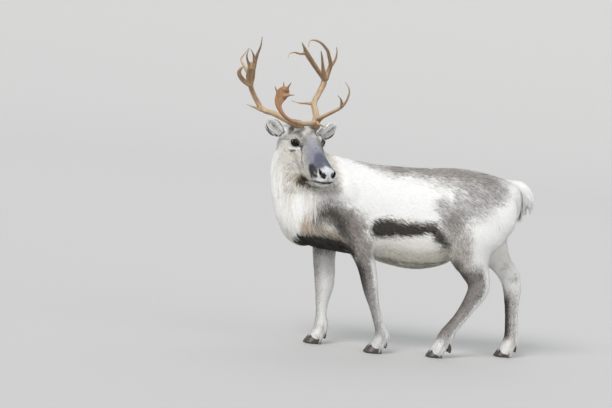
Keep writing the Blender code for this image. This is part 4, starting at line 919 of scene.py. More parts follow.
# the animal's markings at each point of its surface
def coatColours(points):
    points = np.asarray(points)
    x, z = points[:, 0], points[:, 2]
    colours = np.tile(palette["white"], (len(points), 1))
    mixIn(colours, "cream", 0.35 * ramp(-z, -0.66, -0.5))

    # long pale strands with tan between on neck and breast
    onNeck = ramp(-x, 0.4, 0.56) * ramp(z, 0.5, 0.6)
    mixIn(colours, "beige", 0.34 * onNeck * ramp(mottle(points, (60, 60, 8), 5), 0.48, 0.72))
    mixIn(colours, "paleGrey", 0.34 * onNeck * ramp(mottle(points, (36, 36, 6), 9), 0.48, 0.75))

    # streaks that lie with the hair of the trunk
    streak = mottle(points, (22, 110, 110), 13)
    ragged = mottle(points, (30, 45, 45), 11)
    layMarks(colours, mirrored(points), bodyMarks, 0.45 * ragged + 0.55 * streak)
    fine = mottle(points, (38, 170, 170), 15)
    brightness = colours.mean(1)
    salted = ramp(-brightness, -0.8, -0.6) * ramp(brightness, 0.1, 0.22) * ramp(x, -0.46, -0.3)
    colours *= (1 + salted * 0.75 * (fine - 0.5))[:, None]

    legShades(colours, points, ragged)

    local = toHead(points)
    folded = mirrored(local)
    nearHead = headShare(local)
    face = colours.copy()
    base = 0.6 * palette["paleGrey"] + 0.4 * palette["cream"]
    blend(face, base, ramp(local[:, 0], -0.06, 0.02) * 0.9)
    speckle = mottle(local, (55, 150, 150), 17)
    onCheek = ramp(local[:, 0], 0.0, 0.05)
    mixIn(face, "cream", 0.75 * ramp(speckle, 0.48, 0.68) * onCheek)
    mixIn(face, "greyBrown", 0.4 * ramp(-speckle, -0.46, -0.28) * onCheek)
    layMarks(face, folded, headMarks, 0.5 * speckle + 0.5 * mottle(local, (90, 90, 90), 19))
    eyeShades(face, points)
    nostrilShades(face, folded)
    blend(colours, face, nearHead)
    earShades(colours, points)
    return np.clip(colours, 0.004, 1.0)


def paintCoat(mesh, colours):
    layer = mesh.color_attributes.new("coat", "FLOAT_COLOR", "POINT")
    layer.data.foreach_set("color", np.column_stack([colours, np.ones(len(colours))]).ravel())


def storeVectors(mesh, name, vectors):
    layer = mesh.attributes.new(name, "FLOAT_VECTOR", "POINT")
    layer.data.foreach_set("vector", np.asarray(vectors, dtype=float).ravel())


paintCoat(skin.data, coatColours(readPoints(skin)) * 0.97)
print("scene: skin painted")


# Materials
def newMaterial(name, rough, shine=0.5, **values):
    material = bpy.data.materials.new(name)
    material.use_nodes = True
    tree = material.node_tree
    shader = tree.nodes["Principled BSDF"]
    values.update({"Roughness": rough, "Specular IOR Level": shine})
    for key, value in values.items():
        shader.inputs[key.replace("_", " ")].default_value = value
    return material, tree, shader


def addNode(tree, kind, values=None, **settings):
    node = tree.nodes.new(kind)
    for key, value in settings.items():
        setattr(node, key, value)
    for key, value in (values or {}).items():
        node.inputs[key].default_value = value
    return node


def mixColour(tree, blend, factor, first, second):
    node = tree.nodes.new("ShaderNodeMix")
    node.data_type = "RGBA"
    node.blend_type = blend
    for socket, value in ((node.inputs[0], factor), (node.inputs[6], first), (node.inputs[7], second)):
        if isinstance(value, bpy.types.NodeSocket):
            tree.links.new(value, socket)
        else:
            socket.default_value = value
    return node.outputs[2]


def coatShader(name, rough):
    material, tree, shader = newMaterial(name, rough, 0.18)
    coat = addNode(tree, "ShaderNodeAttribute", attribute_name="coat")
    return material, tree, shader, coat


# noise over the object's own places, or over a stored attribute, stretched or not
def addNoise(tree, scale, detail, rough=0.5, attribute=None, stretch=None):
    if attribute:
        source = addNode(tree, "ShaderNodeAttribute", attribute_name=attribute).outputs["Vector"]
    else:
        source = addNode(tree, "ShaderNodeTexCoord").outputs["Object"]
    if stretch:
        mapping = addNode(tree, "ShaderNodeMapping", {"Scale": stretch})
        tree.links.new(source, mapping.inputs["Vector"])
        source = mapping.outputs["Vector"]
    noise = addNode(tree, "ShaderNodeTexNoise", {"Scale": scale, "Detail": detail, "Roughness": rough})
    tree.links.new(source, noise.inputs["Vector"])
    return noise.outputs["Fac"]


# multiplies a colour by a pattern brought between two values
def tintBy(tree, shader, colour, factor, low, high):
    spread = addNode(tree, "ShaderNodeMapRange", {"From Min": 0.3, "From Max": 0.7, "To Min": low, "To Max": high})
    tree.links.new(factor, spread.inputs["Value"])
    grey = addNode(tree, "ShaderNodeCombineColor")
    for channel in ("Red", "Green", "Blue"):
        tree.links.new(spread.outputs["Result"], grey.inputs[channel])
    tree.links.new(mixColour(tree, "MULTIPLY", 1.0, colour, grey.outputs["Color"]), shader.inputs["Base Color"])


def liftBy(tree, shader, factor, strength, distance):
    lift = addNode(tree, "ShaderNodeBump", {"Strength": strength, "Distance": distance})
    tree.links.new(factor, lift.inputs["Height"])
    tree.links.new(lift.outputs["Normal"], shader.inputs["Normal"])


def skinMaterial():
    material, tree, shader, coat = coatShader("short_coat", 0.85)
    noise = addNoise(tree, 420.0, 3.0, 0.6)
    tintBy(tree, shader, coat.outputs["Color"], noise, 0.86, 1.08)
    liftBy(tree, shader, noise, 0.5, 0.001)
    return material


# fine strands along each tuft, from the tuft's own across and along
def hairMaterial():
    material, tree, shader, coat = coatShader("coat_hair", 0.6)
    noise = addNoise(tree, 1.0, 2.0, attribute="strand", stretch=(3.4, 0.35, 1.0))
    tintBy(tree, shader, coat.outputs["Color"], noise, 0.8, 1.1)
    liftBy(tree, shader, noise, 0.4, 0.0006)
    return material


tuftMaterial = hairMaterial()
skin.data.materials.clear()
skin.data.materials.append(skinMaterial())


# moves a piece into the frame, hangs it under the root and hides the parts it stands for
def finishPiece(made, slot, *nodes):
    writePoints(made, readPoints(made) + shift)
    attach(made, "root")
    if nodes:
        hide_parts(*nodes)


# Lie of the coat: guides with a direction, length, width, rise over the skin and cover
coatSizes = {
    # length, width, rise of the tip, layers
    "trunk": (0.03, 0.0042, 0.0024, 4.8),
    "rump": (0.031, 0.0044, 0.0026, 4.8),
    "belly": (0.038, 0.0048, 0.0045, 4.4),
    "limb": (0.024, 0.0038, 0.0022, 4.6),
    "neck": (0.034, 0.0036, 0.003, 6.0),
    "throat": (0.036, 0.0036, 0.0034, 6.0),
    "foreleg": (0.016, 0.0032, 0.0017, 4.2),
    "cannon": (0.0115, 0.0027, 0.0013, 3.7),
    "foot": (0.0125, 0.0028, 0.0018, 3.9),
    "poll": (0.013, 0.0024, 0.0018, 3.9),
    "cheek": (0.011, 0.0021, 0.0014, 3.1),
    "face": (0.0082, 0.0018, 0.001, 2.9),
    "muzzle": (0.0048, 0.0014, 0.0006, 2.5),
    "lid": (0.0052, 0.0013, 0.0007, 2.8),
    "ear": (0.01, 0.0021, 0.0012, 3.6),
    "tail": (0.036, 0.0046, 0.0045, 4.4),
}
guidePlaces, guideWays, guideSizes = [], [], []


def guide(places, way, size):
    for place in np.atleast_2d(places):
        guidePlaces.append(place)
        guideWays.append(unit(way))
        guideSizes.append(coatSizes[size])


for ring in trunkRings(trunkRows, 1, 12):
    x = ring[0][0]
    if x < -0.4:
        continue
    for k, place in enumerate(ring):
        side = abs(math.cos(2 * math.pi * k / 12))
        below = max(-math.sin(2 * math.pi * k / 12), 0.0)
        if x > 0.42:
            guide(place, (0.5, 0.0, -1.0), "rump")
        elif below > 0.7:
            guide(place, (1.0, 0.0, -0.05), "belly")
        elif side > 0.5 and -0.46 < x < -0.24:
            guide(place, (0.75, 0.0, -0.62), "limb" if below > 0.3 else "trunk")
        elif side > 0.5 and x > 0.15:
            guide(place, (0.85, 0.0, -0.6), "rump")
        else:
            guide(place, (1.0, 0.0, -0.38 * side), "trunk")
for rows, size in ((neckRows, "neck"), (breastRows, "throat")):
    rings = limbRings(rows, 1, 10, maneDepth)
    middle = np.array(rows)[:, :3]
    for i, ring in enumerate(rings):
        if size == "neck" and (i < 2 or i == len(rings) - 1):
            continue
        down = np.array((0.1, 0.0, -1.0)) if i < 5 else np.array((0.8, 0.0, -0.6))
        if size == "neck":
            down = -heading(middle, i)
        for place in ring:
            front = float(ramp(-(place[0] - middle[i][0]), -0.03, 0.07))
            guide(place, unit(down) * (1 - front) + np.array((0.08, 0.0, -1.0)) * front, size)
for name, rows in legRows.items():
    rings = limbRings(rows, 1, 8, legDepth)
    path = np.array(rows)[:, :3]
    for i in range(2, len(rings)):
        z = path[i][2]
        size = "limb" if z > 0.46 else "foreleg" if z > 0.33 else "cannon" if z > 0.09 else "foot"
        guide(rings[i], heading(path, i), size)
for along, top, bottom, atTop, atBrow, atJaw in headRows:
    for turn in np.radians((90, 55, 20, -10, -40, -75, -90)):
        for side in (-1, 1):
            brow = top + (bottom - top) * browShare
            reach = (top - brow) if turn > 0 else (brow - bottom)
            place = onHead((along, side * atBrow * math.cos(turn), brow + reach * math.sin(turn)))
            lower = max(-math.sin(turn), 0.0)
            behind = lower * float(ramp(-along, -0.2, -0.06))
            way = -faceLine * (1.0 - 0.6 * behind) - crown * (0.35 * lower + 0.9 * behind)
            way = way + headLeft * side * 0.12 * math.cos(turn)
            size = "face" if along < 0.25 else "muzzle"
            if along < 0.2 and lower > 0.3:
                size = "cheek"
            if along < 0.0:
                size = "poll"
            guide(place, way, size)
for side in (-1, 1):
    middle = onHead(onSide(eyePlace, side))
    for spread, count in ((1.2, 20), (1.5, 18), (1.85, 16)):
        loop = almond(side, spread, count)
        for place in loop:
            away = unit(place - loop.mean(0))
            guide(place, away * 0.8 - faceLine * (spread - 1.0), "lid")
tailPath = curveThrough(tailRows, 2)
for i in range(2, len(tailPath)):
    guide(tailPath[i][:3] + np.array(((0.02, 0, 0.02), (0, 0.025, 0), (0, -0.025, 0), (0, 0, -0.02))),
        tailPath[i][:3] - tailPath[i - 1][:3], "tail")
for side in (-1, 1):
    root, tip, along, mouth, across = earFrame(side)
    for share in (0.3, 0.5, 0.7, 0.9):
        guide(root + (tip - root) * share + np.array((mouth, -mouth, across, -across)) * 0.02, along, "ear")
guidePlaces, guideWays, guideSizes = (np.array(v, dtype=float) for v in (guidePlaces, guideWays, guideSizes))
skinPoints, skinNormals = readPoints(skin), readNormals(skin)
nearby = KDTree(len(skinPoints))
for i, point in enumerate(skinPoints.tolist()):
    nearby.insert(point, i)
nearby.balance()


def nearestPoints(places):
    found = [nearby.find(place) for place in places.tolist()]
    return np.array([index for _, index, _ in found]), np.array([away for _, _, away in found])


def flatten(ways, normals):
    return ways - normals * (ways * normals).sum(1, keepdims=True)


onto, away = nearestPoints(guidePlaces)
flat = flatten(guideWays, skinNormals[onto])
kept = (away < 0.03) & (np.linalg.norm(flat, axis=1) > 0.35)
guideNormals = skinNormals[onto][kept].astype(np.float32)
guidePlaces, guideWays, guideSizes = (
    part.astype(np.float32) for part in (skinPoints[onto][kept], unit(flat[kept]), guideSizes[kept]))


# direction and sizes at each point of the skin, blended from the guides and evened out
def layTheCoat(rounds):
    ways, sizes = np.empty_like(skinPoints), np.empty((len(skinPoints), guideSizes.shape[1]))
    atOnce = 8000  # points, to spare memory
    for start in range(0, len(skinPoints), atOnce):
        block = slice(start, start + atOnce)
        part = skinPoints[block].astype(np.float32)
        weight = 1.0 / (((part[:, None] - guidePlaces[None]) ** 2).sum(2) + 0.012**2) ** 2
        facing = skinNormals[block].astype(np.float32) @ guideNormals.T
        weight *= 0.002 + np.clip(facing, 0.0, 1.0) ** 2
        weight /= weight.sum(1, keepdims=True)
        ways[block], sizes[block] = weight @ guideWays, weight @ guideSizes
    first, second = readRows(skin.data.edges, "vertices", 2, np.int64).T
    ways = unit(flatten(ways, skinNormals))
    for _ in range(rounds):
        total = ways.copy()
        for axis in range(3):
            onFirst = np.bincount(first, ways[second, axis], len(ways))
            total[:, axis] += onFirst + np.bincount(second, ways[first, axis], len(ways))
        ways = unit(flatten(total, skinNormals))
    return ways, sizes


layWays, laySizes = layTheCoat(60)
print("scene: lie of the coat set from", len(guidePlaces), "guides")


def followGuides(points):
    picks, _ = nearestPoints(points)
    return layWays[picks], laySizes[picks]


# Roots spread over the skin
skin.data.calc_loop_triangles()
triangles = readRows(skin.data.loop_triangles, "vertices", 3, np.int64)
corners = readRows(skin.data.loop_triangles, "loops", 3, np.int64)
uvs = readRows(skin.data.uv_layers["OFBake"].data, "uv", 2)
skinTree = treeOf(skin)
centres = skinPoints[triangles].mean(1)
first, second, third = (skinPoints[triangles[:, k]] for k in range(3))
areas = np.linalg.norm(np.cross(second - first, third - first), axis=1) / 2


# nothing where hair grows, 1 inside the eyes, nostrils and mouth, on their rims and under the feet
def bareness(points):
    local = toHead(points)
    folded = mirrored(local)
    bare = np.zeros(len(points))
    for side in (-1, 1):
        middle = onHead(onSide(eyePlace, side))
        along, high, gaze = eyeAxes(side)
        way = points - middle
        inEye = np.hypot(way @ along / 0.0252, way @ high / 0.0174) < 1.0
        bare = np.maximum(bare, inEye & (way @ gaze > 0))
    away, _ = toPath(folded, mouthLine)
    bare = np.maximum(bare, away < 0.0066)
    away, _ = toPath(folded, [nostrilCuts[1][0], (0.3, 0.037, -0.024), (0.314, 0.03, -0.03), nostrilCuts[0][1]])
    bare = np.maximum(bare, away < np.where(folded[:, 0] > 0.296, 0.0088, 0.005))
    return np.maximum(bare, points[:, 2] < 0.012)


# roots on the chosen triangles: place, normal, place in the unwrap
def scatter(chosen, density, draw):
    wanted = np.cumsum(areas[chosen] * density)
    total = int(wanted[-1])
    picks = np.searchsorted(wanted, np.arange(total) + draw.random(total) * 0.999)
    picks = chosen[np.minimum(picks, len(chosen) - 1)]
    a, b = draw.random(total), draw.random(total)
    over = a + b > 1
    a, b = np.where(over, 1 - a, a), np.where(over, 1 - b, b)
    share = np.stack([1 - a - b, a, b], axis=1)
    place = (skinPoints[triangles[picks]] * share[..., None]).sum(1)
    normal = unit((skinNormals[triangles[picks]] * share[..., None]).sum(1))
    where = (uvs[corners[picks]] * share[..., None]).sum(1)
    return place, normal, where


# moves points to the given height over the skin, and gives the skin's normals there
def hug(points, lifts):
    placed, normals = np.empty_like(points), np.empty_like(points)
    for i, point in enumerate(points.tolist()):
        spot, normal, _, _ = skinTree.find_nearest(point)
        placed[i], normals[i] = spot, normal
    return placed + normals * lifts[:, None], normals


# closed tapered tufts that bend along the skin. form: share of length, half width, half thickness, rise
def growTufts(name, roots, draw, form, colours, sizes, ways, spread, sink=0.0012, soft=0.75, drape=0.0, onSkin=True):
    place, normal, where = roots
    total = len(place)
    length, width, rise = sizes[:, 0], sizes[:, 1], sizes[:, 2]
    length = length * draw.uniform(0.72, 1.25, total)
    width = width * draw.uniform(0.75, 1.25, total)
    rise = rise * draw.uniform(0.4, 1.0, total)
    jitter = draw.normal(0, spread, total)
    own = draw.random(total) * 50
    spot, over = place, normal
    course = ways
    vertices, normals, unders, tints, patches, strands, spans = [], [], [], [], [], [], []
    patch = 0.0015
    for i, (share, wide, deep, lift) in enumerate(form):
        if i:
            step = (share - form[i - 1][0]) * length
            spot = spot + course * step[:, None]
            if drape:
                spot = spot - np.outer(step * drape, up)
            if onSkin:
                spot, over = hug(spot, rise * lift)
                if len(form) > 3:
                    course = followGuides(spot)[0]
            else:
                spot = spot + over * (rise * (lift - form[i - 1][3]))[:, None]
        course = unit(course - over * (course * over).sum(1, keepdims=True))
        across = np.cross(course, over)
        if i == 0 or (onSkin and len(form) > 3):
            course = course * np.cos(jitter)[:, None] + across * np.sin(jitter)[:, None]
            across = np.cross(course, over)
        along = where + np.array((0.0, 1.0)) * patch * (share * 2 - 1)
        # darker at the root, lighter at the tip: the hair's own colour, and painted shade deep in the coat
        tone = np.interp(share, (0.0, 0.35, 1.0), (0.9, 0.98, 1.04))
        run = share * length / width
        if i in (0, len(form) - 1):
            vertices.append(spot - over * sink if i == 0 else spot)
            normals.append(unit(over + course * (0.25 if i else -0.25)))
            unders.append(-over)
            tints.append(colours * tone)
            patches.append(along)
            strands.append(np.stack([own * 0, run, own], axis=1))
            spans.append(1)
            continue
        half, ridge = across * (wide * width / 2)[:, None], over * (deep * width)[:, None]
        rim = [(half, 1.0, -1.0), (-half, 1.0, 1.0)]
        if len(form) > 3:
            below = ridge * 0.35
            rim = [(half - below, 0.97, -1.0), (ridge * 0.65, 1.03, 0.0), (-half - below, 0.97, 1.0)]
        for part, shade, aside in rim:
            vertices.append(spot + part)
            normals.append(unit(over * soft + unit(part) * (1 - soft)))
            unders.append(unit(unit(part) * (1 - soft) - over * soft))
            tints.append(colours * tone * shade)
            patches.append(along + np.array((1.0, 0.0)) * patch * aside * 0.8)
            strands.append(np.stack([own * 0 + aside, run, own], axis=1))
        spans.append(len(rim))
    if len(form) == 3:  # short blades are closed with two faces above and two below
        volume = ((vertices[3] - vertices[0]) * np.cross(vertices[1] - vertices[0], vertices[2] - vertices[0])).sum(1)
        hollow = volume > 0
        turned = hollow[:, None]
        for rows in (vertices, normals, unders, tints, patches, strands):
            rows[1], rows[2] = np.where(turned, rows[2], rows[1]), np.where(turned, rows[1], rows[2])
        faces = [(0, 1, 2), (3, 2, 1), (0, 3, 1), (0, 2, 3)]
        under = [False, False, True, True]
    else:
        faces, under, hollow = [], [], np.zeros(total, dtype=bool)
        starts = np.cumsum([0] + spans[:-1])
        for i in range(len(spans) - 1):
            a, b = starts[i], starts[i + 1]
            for k in range(3):
                m = (k + 1) % 3
                under += [k == 2] * (1 if 1 in (spans[i], spans[i + 1]) else 2)
                if spans[i] == 1:
                    faces.append((a, b + k, b + m))
                elif spans[i + 1] == 1:
                    faces.append((a + k, b, a + m))
                else:
                    faces += [(a + k, b + k, b + m), (a + k, b + m, a + m)]
    faces = np.array(faces)
    joined = [np.stack(rows, axis=1).reshape(-1, rows[0].shape[1])
        for rows in (vertices, normals, tints, patches, strands, unders)]
    allFaces = (faces[None] + (np.arange(total) * sum(spans))[:, None, None]).reshape(-1)
    joined[0][:, 2] = np.maximum(joined[0][:, 2], 0.0012)
    mesh = bpy.data.meshes.new(name)
    mesh.vertices.add(len(joined[0]))
    mesh.loops.add(len(allFaces))
    mesh.polygons.add(len(allFaces) // 3)
    mesh.vertices.foreach_set("co", joined[0].ravel())
    mesh.loops.foreach_set("vertex_index", allFaces)
    mesh.polygons.foreach_set("loop_start", np.arange(0, len(allFaces), 3))
    mesh.update(calc_edges=True)
    layer = mesh.uv_layers.new(name="OFBake")
    layer.data.foreach_set("uv", joined[3][allFaces].ravel())
    paintCoat(mesh, joined[2])
    storeVectors(mesh, "strand", joined[4])
    mesh.shade_smooth()
    below = np.repeat(np.array(under)[None] ^ hollow[:, None], 3, axis=1).reshape(-1, 1)
    mesh.normals_split_custom_set(np.where(below, joined[5][allFaces], joined[1][allFaces]))
    mesh.materials.append(tuftMaterial)
    finishPiece(newObject(name, mesh), "white_coat")
    print("scene:", name, total, "tufts,", len(allFaces) // 3, "triangles")


shortForm = [(0.0, 0, 0, 0.0), (0.42, 1.0, 0.3, 0.72), (1.0, 0, 0, 1.0)]
longForm = [(0.0, 0, 0, 0.0), (0.22, 1.0, 0.5, 0.6), (0.55, 0.85, 0.42, 1.0), (0.82, 0.45, 0.26, 1.0),
    (1.0, 0, 0, 0.85)]


# each tuft's own tone: even where the coat is white, salt and pepper where it is grey
def varied(colours, draw):
    amount = 0.03 + 0.2 * ramp(-colours.mean(1), -0.78, -0.45)
    tone = 1 + amount * draw.normal(0, 1, len(colours))
    return np.clip(colours * np.clip(tone, 0.55, 1.5)[:, None], 0.004, 0.9)


tuftLimit = 48500
centreSizes = followGuides(centres)[1]
density = centreSizes[:, 3] / (0.5 * centreSizes[:, 0] * centreSizes[:, 1])
growing = 1 - bareness(centres)
centreLocal = toHead(centres)
x, y, z = centres.T
along, left, above = centreLocal.T
behindBrow = (above > -0.2) & (along > -0.12) & (along < 0.1) & (np.abs(left) < 0.22) & (z > 0.9)
onFace = (headShare(centreLocal) > 0.3) | behindBrow
zones = {
    "coat_face": onFace & (along > 0.055),
    "coat_crown": onFace & (along <= 0.055),
    "coat_neck": ~onFace & (x < -0.42) & (z > 0.46),
    "coat_back": ~onFace & (x >= -0.42) & (z > 0.72),
    "coat_flanks": ~onFace & (x >= -0.42) & (z <= 0.72) & (z > 0.46),
    "coat_legs_fore": (x < -0.05) & (z <= 0.46),
    "coat_legs_hind": (x >= -0.05) & (z <= 0.46),
}
rootScatter = {"coat_face": 0.0016, "coat_crown": 0.0025}  # 0.005 elsewhere, to break up the markings' edges
for number, (name, inside) in enumerate(zones.items()):
    draw = np.random.default_rng(40 + number)
    chosen = np.nonzero(inside & (growing > 0.5))[0]
    local = density[chosen]
    wanted = float((areas[chosen] * local).sum())
    print("scene:", name, "asks for", int(wanted), "tufts")
    if wanted > tuftLimit:
        local = local * (tuftLimit / wanted)
    roots = scatter(chosen, local, draw)
    ways, sizes = followGuides(roots[0])
    scattered = draw.normal(0, 1, (len(roots[0]), 3)) * rootScatter.get(name, 0.005)
    colours = varied(coatColours(roots[0] + scattered), draw)
    growTufts(name, roots, draw, shortForm, colours, sizes, ways, 0.13)


# Long hair: mane, brisket, belly fringe, tail
def growLong(name, number, inside, perMetre, size, spread, drape, onSkin):
    draw = np.random.default_rng(number)
    chosen = np.nonzero(inside & (growing > 0.5))[0]
    roots = scatter(chosen, np.full(len(chosen), float(perMetre)), draw)
    ways, _ = followGuides(roots[0])
    colours = varied(coatColours(roots[0]), draw)
    sizes = np.tile(size, (len(roots[0]), 1))
    growTufts(name, roots, draw, longForm, colours, sizes, ways, spread, 0.002, 0.7, drape, onSkin)


backOfFoot, onLeg = np.zeros(len(centres), dtype=bool), np.zeros(len(centres), dtype=bool)
for name, rows in legRows.items():
    front, across, away = fromLeg(centres, rows)
    sameSide = (centres[:, 1] < 0) == name.endswith("left")
    onLeg |= sameSide & (away < 1.25)
    backOfFoot |= sameSide & (away < 1.7) & (front < -0.35) & (centres[:, 2] > 0.05) & (centres[:, 2] < 0.125)
draw = np.random.default_rng(60)
maneShare = ramp(-centres[:, 2], -1.0, -0.86) * ramp(-centres[:, 0] + (0.55 - centres[:, 2]) * 0.25, 0.47, 0.53)
thinned = draw.random(len(centres)) < maneShare
offMiddle = np.abs(y)
# roots per square metre, length, width, rise of the tip, spread, droop, whether it follows the skin
longHair = {
    "mane": (80000, (0.07, 0.0038, 0.0085), 0.08, 0.25, True),
    "brisket_hair": (46000, (0.055, 0.0042, 0.011), 0.12, 0.25, True),
    "belly_hair": (34000, (0.052, 0.0048, 0.01), 0.12, 0.25, True),
    "tail_hair": (200000, (0.056, 0.0038, 0.0125), 0.22, 0.3, False),
    "fetlock_hair": (90000, (0.036, 0.0033, 0.009), 0.16, 0.42, False),
}
longZones = {
    "mane": thinned & (headShare(centreLocal) < 0.5) & (z > np.where(offMiddle < 0.13, 0.6, 0.57)),
    "brisket_hair": (x < -0.3) & (z < 0.565) & (z > 0.44) & (offMiddle < 0.085) & ~onLeg,
    "belly_hair": (x > -0.22) & (x < 0.16) & (z < 0.445) & (z > 0.37) & ~onLeg & (offMiddle < 0.1),
    "tail_hair": (x > 0.48) & (z > 0.74) & (offMiddle < 0.04),
    "fetlock_hair": backOfFoot,
}
for number, (name, plan) in enumerate(longHair.items()):
    growLong(name, 61 + number, longZones[name], *plan)


# pale hairs rooted inside both rims and lying across the cup
def growEarHair():
    draw = np.random.default_rng(66)
    places, overs, ways, sizes = [], [], [], []
    for side in (-1, 1):
        root, tip, along, mouth, across = earFrame(side)
        length = np.linalg.norm(tip - root)
        for edge, count in ((1, 640), (-1, 640), (0, 200)):
            for _ in range(count):
                share = draw.uniform(0.16, 0.9) if edge else draw.uniform(0.1, 0.35)
                half = np.interp(share, earShares, earHalves)
                angle = math.radians(np.interp(share, earShares, earAngles))
                turn = edge * angle * draw.uniform(0.8, 0.97) if edge else draw.uniform(-0.6, 0.6)
                middle = root + along * length * share + mouth * earPlan["bow"] * math.sin(math.pi * share)
                way = across * math.sin(turn) - mouth * math.cos(turn)
                places.append(middle + way * half * 0.86)
                overs.append(unit(mouth + along * 0.2))
                ways.append(unit(-across * math.sin(turn) * draw.uniform(0.5, 1.1) + along * draw.uniform(0.2, 1.3)
                    + mouth * draw.uniform(0.0, 0.35)))
                sizes.append((draw.uniform(0.017, 0.031), 0.0019, draw.uniform(0.001, 0.006)))
    places, overs, ways, sizes = (np.array(v) for v in (places, overs, ways, sizes))
    where = np.empty((len(places), 2))
    for i, place in enumerate(places.tolist()):
        face = skinTree.find_nearest(place)[2]
        where[i] = uvs[corners[min(face, len(corners) - 1)][0]]
    colours = varied(0.3 * coatColours(places) + 0.7 * palette["white"], draw) * 1.06
    growTufts("ear_hair", (places, overs, where), draw, longForm, colours, sizes, ways, 0.12, 0.0005, 0.7, 0.0, False)


growEarHair()

flesh = ("torso", "neck", "head", "tail", "ear_left", "ear_right")
finishPiece(skin, "white_coat", *[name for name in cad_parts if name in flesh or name.startswith("leg_")])


# Eyes
def eyeMaterial():
    material, tree, shader = newMaterial("wet_eye", 0.12, 0.0, Coat_Weight=0.45, Coat_Roughness=0.02)
    pupilShare = addNode(tree, "ShaderNodeAttribute", attribute_name="pupil")
    colour = mixColour(tree, "MIX", pupilShare.outputs["Fac"], (0.007, 0.005, 0.0045, 1), (0.001, 0.001, 0.0015, 1))
    tree.links.new(colour, shader.inputs["Base Color"])
    return material


eyeCoat = eyeMaterial()
for side, name in ((1, "left"), (-1, "right")):
    along, high, gaze = eyeAxes(side)
    middle = onHead(onSide(eyePlace, side))
    axes = (along * eyeRadius, high * eyeRadius, gaze * eyeRadius)
    eye = makeObject("eyeball_" + name, [egg(middle, axes, 40, 56)])
    way = readPoints(eye) - middle
    bulge = 0.0014 * (1 - ramp(np.hypot(way @ along, way @ high), 0.006, 0.0125)) * (way @ gaze > 0)
    writePoints(eye, readPoints(eye) + np.outer(bulge, gaze))
    pupil = eye.data.attributes.new("pupil", "FLOAT", "POINT")
    pupil.data.foreach_set("value", 1 - ramp(np.hypot(way @ along / 0.0085, way @ high / 0.0055), 0.85, 1.1))
    eye.data.shade_smooth()
    eye.data.materials.append(eyeCoat)
    finishPiece(eye, "eye_wet", "eye_" + name)


# Lashes and whiskers: bent tapered bristles set on points that carry the way they grow and lean
bristlePlan = {
    "lashes": {"Length": 0.0095, "Thickness": 0.00034, "Bend": 0.32, "Unevenness": 0.25, "Seed": 7},
    "whiskers": {"Length": 0.026, "Thickness": 0.0003, "Bend": 0.22, "Unevenness": 0.45, "Seed": 8},
}


def bristleMaterial():
    material, tree, shader = newMaterial("stiff_hair", 0.45)
    colour = mixColour(tree, "MIX", addNoise(tree, 300.0, 2.0), (0.006, 0.005, 0.005, 1), (0.06, 0.05, 0.042, 1))
    tree.links.new(colour, shader.inputs["Base Color"])
    return material


def bristleTree(material):
    tree = bpy.data.node_groups.new("bristles", "GeometryNodeTree")
    tree.interface.new_socket("Geometry", in_out="INPUT", socket_type="NodeSocketGeometry")
    for name in ("Length", "Thickness", "Bend", "Unevenness"):
        tree.interface.new_socket(name, in_out="INPUT", socket_type="NodeSocketFloat")
    tree.interface.new_socket("Seed", in_out="INPUT", socket_type="NodeSocketInt")
    tree.interface.new_socket("Geometry", in_out="OUTPUT", socket_type="NodeSocketGeometry")
    enter, leave = tree.nodes.new("NodeGroupInput"), tree.nodes.new("NodeGroupOutput")

    def join(source, target):
        tree.links.new(source, target)

    def maths(operation, first, second):
        node = addNode(tree, "ShaderNodeMath", operation=operation)
        for socket, value in zip(node.inputs, (first, second)):
            if isinstance(value, bpy.types.NodeSocket):
                join(value, socket)
            else:
                socket.default_value = value
        return node.outputs[0]

    cone = addNode(tree, "GeometryNodeMeshCone", {"Vertices": 5, "Side Segments": 5})
    join(enter.outputs["Length"], cone.inputs["Depth"])
    join(maths("MULTIPLY", enter.outputs["Thickness"], 0.5), cone.inputs["Radius Bottom"])
    join(maths("MULTIPLY", enter.outputs["Thickness"], 0.08), cone.inputs["Radius Top"])
    position = addNode(tree, "GeometryNodeInputPosition")
    parts = addNode(tree, "ShaderNodeSeparateXYZ")
    join(position.outputs[0], parts.inputs[0])
    share = maths("DIVIDE", parts.outputs["Z"], enter.outputs["Length"])
    aside = maths("MULTIPLY", maths("MULTIPLY", maths("POWER", share, 2.0), enter.outputs["Length"]),
        enter.outputs["Bend"])
    offset = addNode(tree, "ShaderNodeCombineXYZ")
    join(aside, offset.inputs["Y"])
    bent = addNode(tree, "GeometryNodeSetPosition")
    join(cone.outputs["Mesh"], bent.inputs["Geometry"])
    join(offset.outputs[0], bent.inputs["Offset"])
    turned = None
    for name, axis, pivot in (("grow", "Z", "AUTO"), ("lean", "Y", "Z")):
        named = addNode(tree, "GeometryNodeInputNamedAttribute", {"Name": name}, data_type="FLOAT_VECTOR")
        align = addNode(tree, "FunctionNodeAlignRotationToVector", axis=axis, pivot_axis=pivot)
        join(named.outputs[0], align.inputs["Vector"])
        if turned:
            join(turned, align.inputs["Rotation"])
        turned = align.outputs[0]
    sizes = addNode(tree, "FunctionNodeRandomValue", data_type="FLOAT")
    floats = [socket for socket in sizes.inputs if socket.type == "VALUE" and socket.enabled]
    join(maths("SUBTRACT", 1.0, enter.outputs["Unevenness"]), floats[0])
    floats[1].default_value = 1.15
    join(enter.outputs["Seed"], [socket for socket in sizes.inputs if socket.name == "Seed"][0])
    placed = addNode(tree, "GeometryNodeInstanceOnPoints")
    join(enter.outputs["Geometry"], placed.inputs["Points"])
    join(bent.outputs["Geometry"], placed.inputs["Instance"])
    join(turned, placed.inputs["Rotation"])
    join([socket for socket in sizes.outputs if socket.type == "VALUE" and socket.enabled][0], placed.inputs["Scale"])
    real = addNode(tree, "GeometryNodeRealizeInstances")
    join(placed.outputs["Instances"], real.inputs["Geometry"])
    dressed = addNode(tree, "GeometryNodeSetMaterial")
    dressed.inputs["Material"].default_value = material
    join(real.outputs[0], dressed.inputs["Geometry"])
    join(dressed.outputs[0], leave.inputs["Geometry"])
    return tree


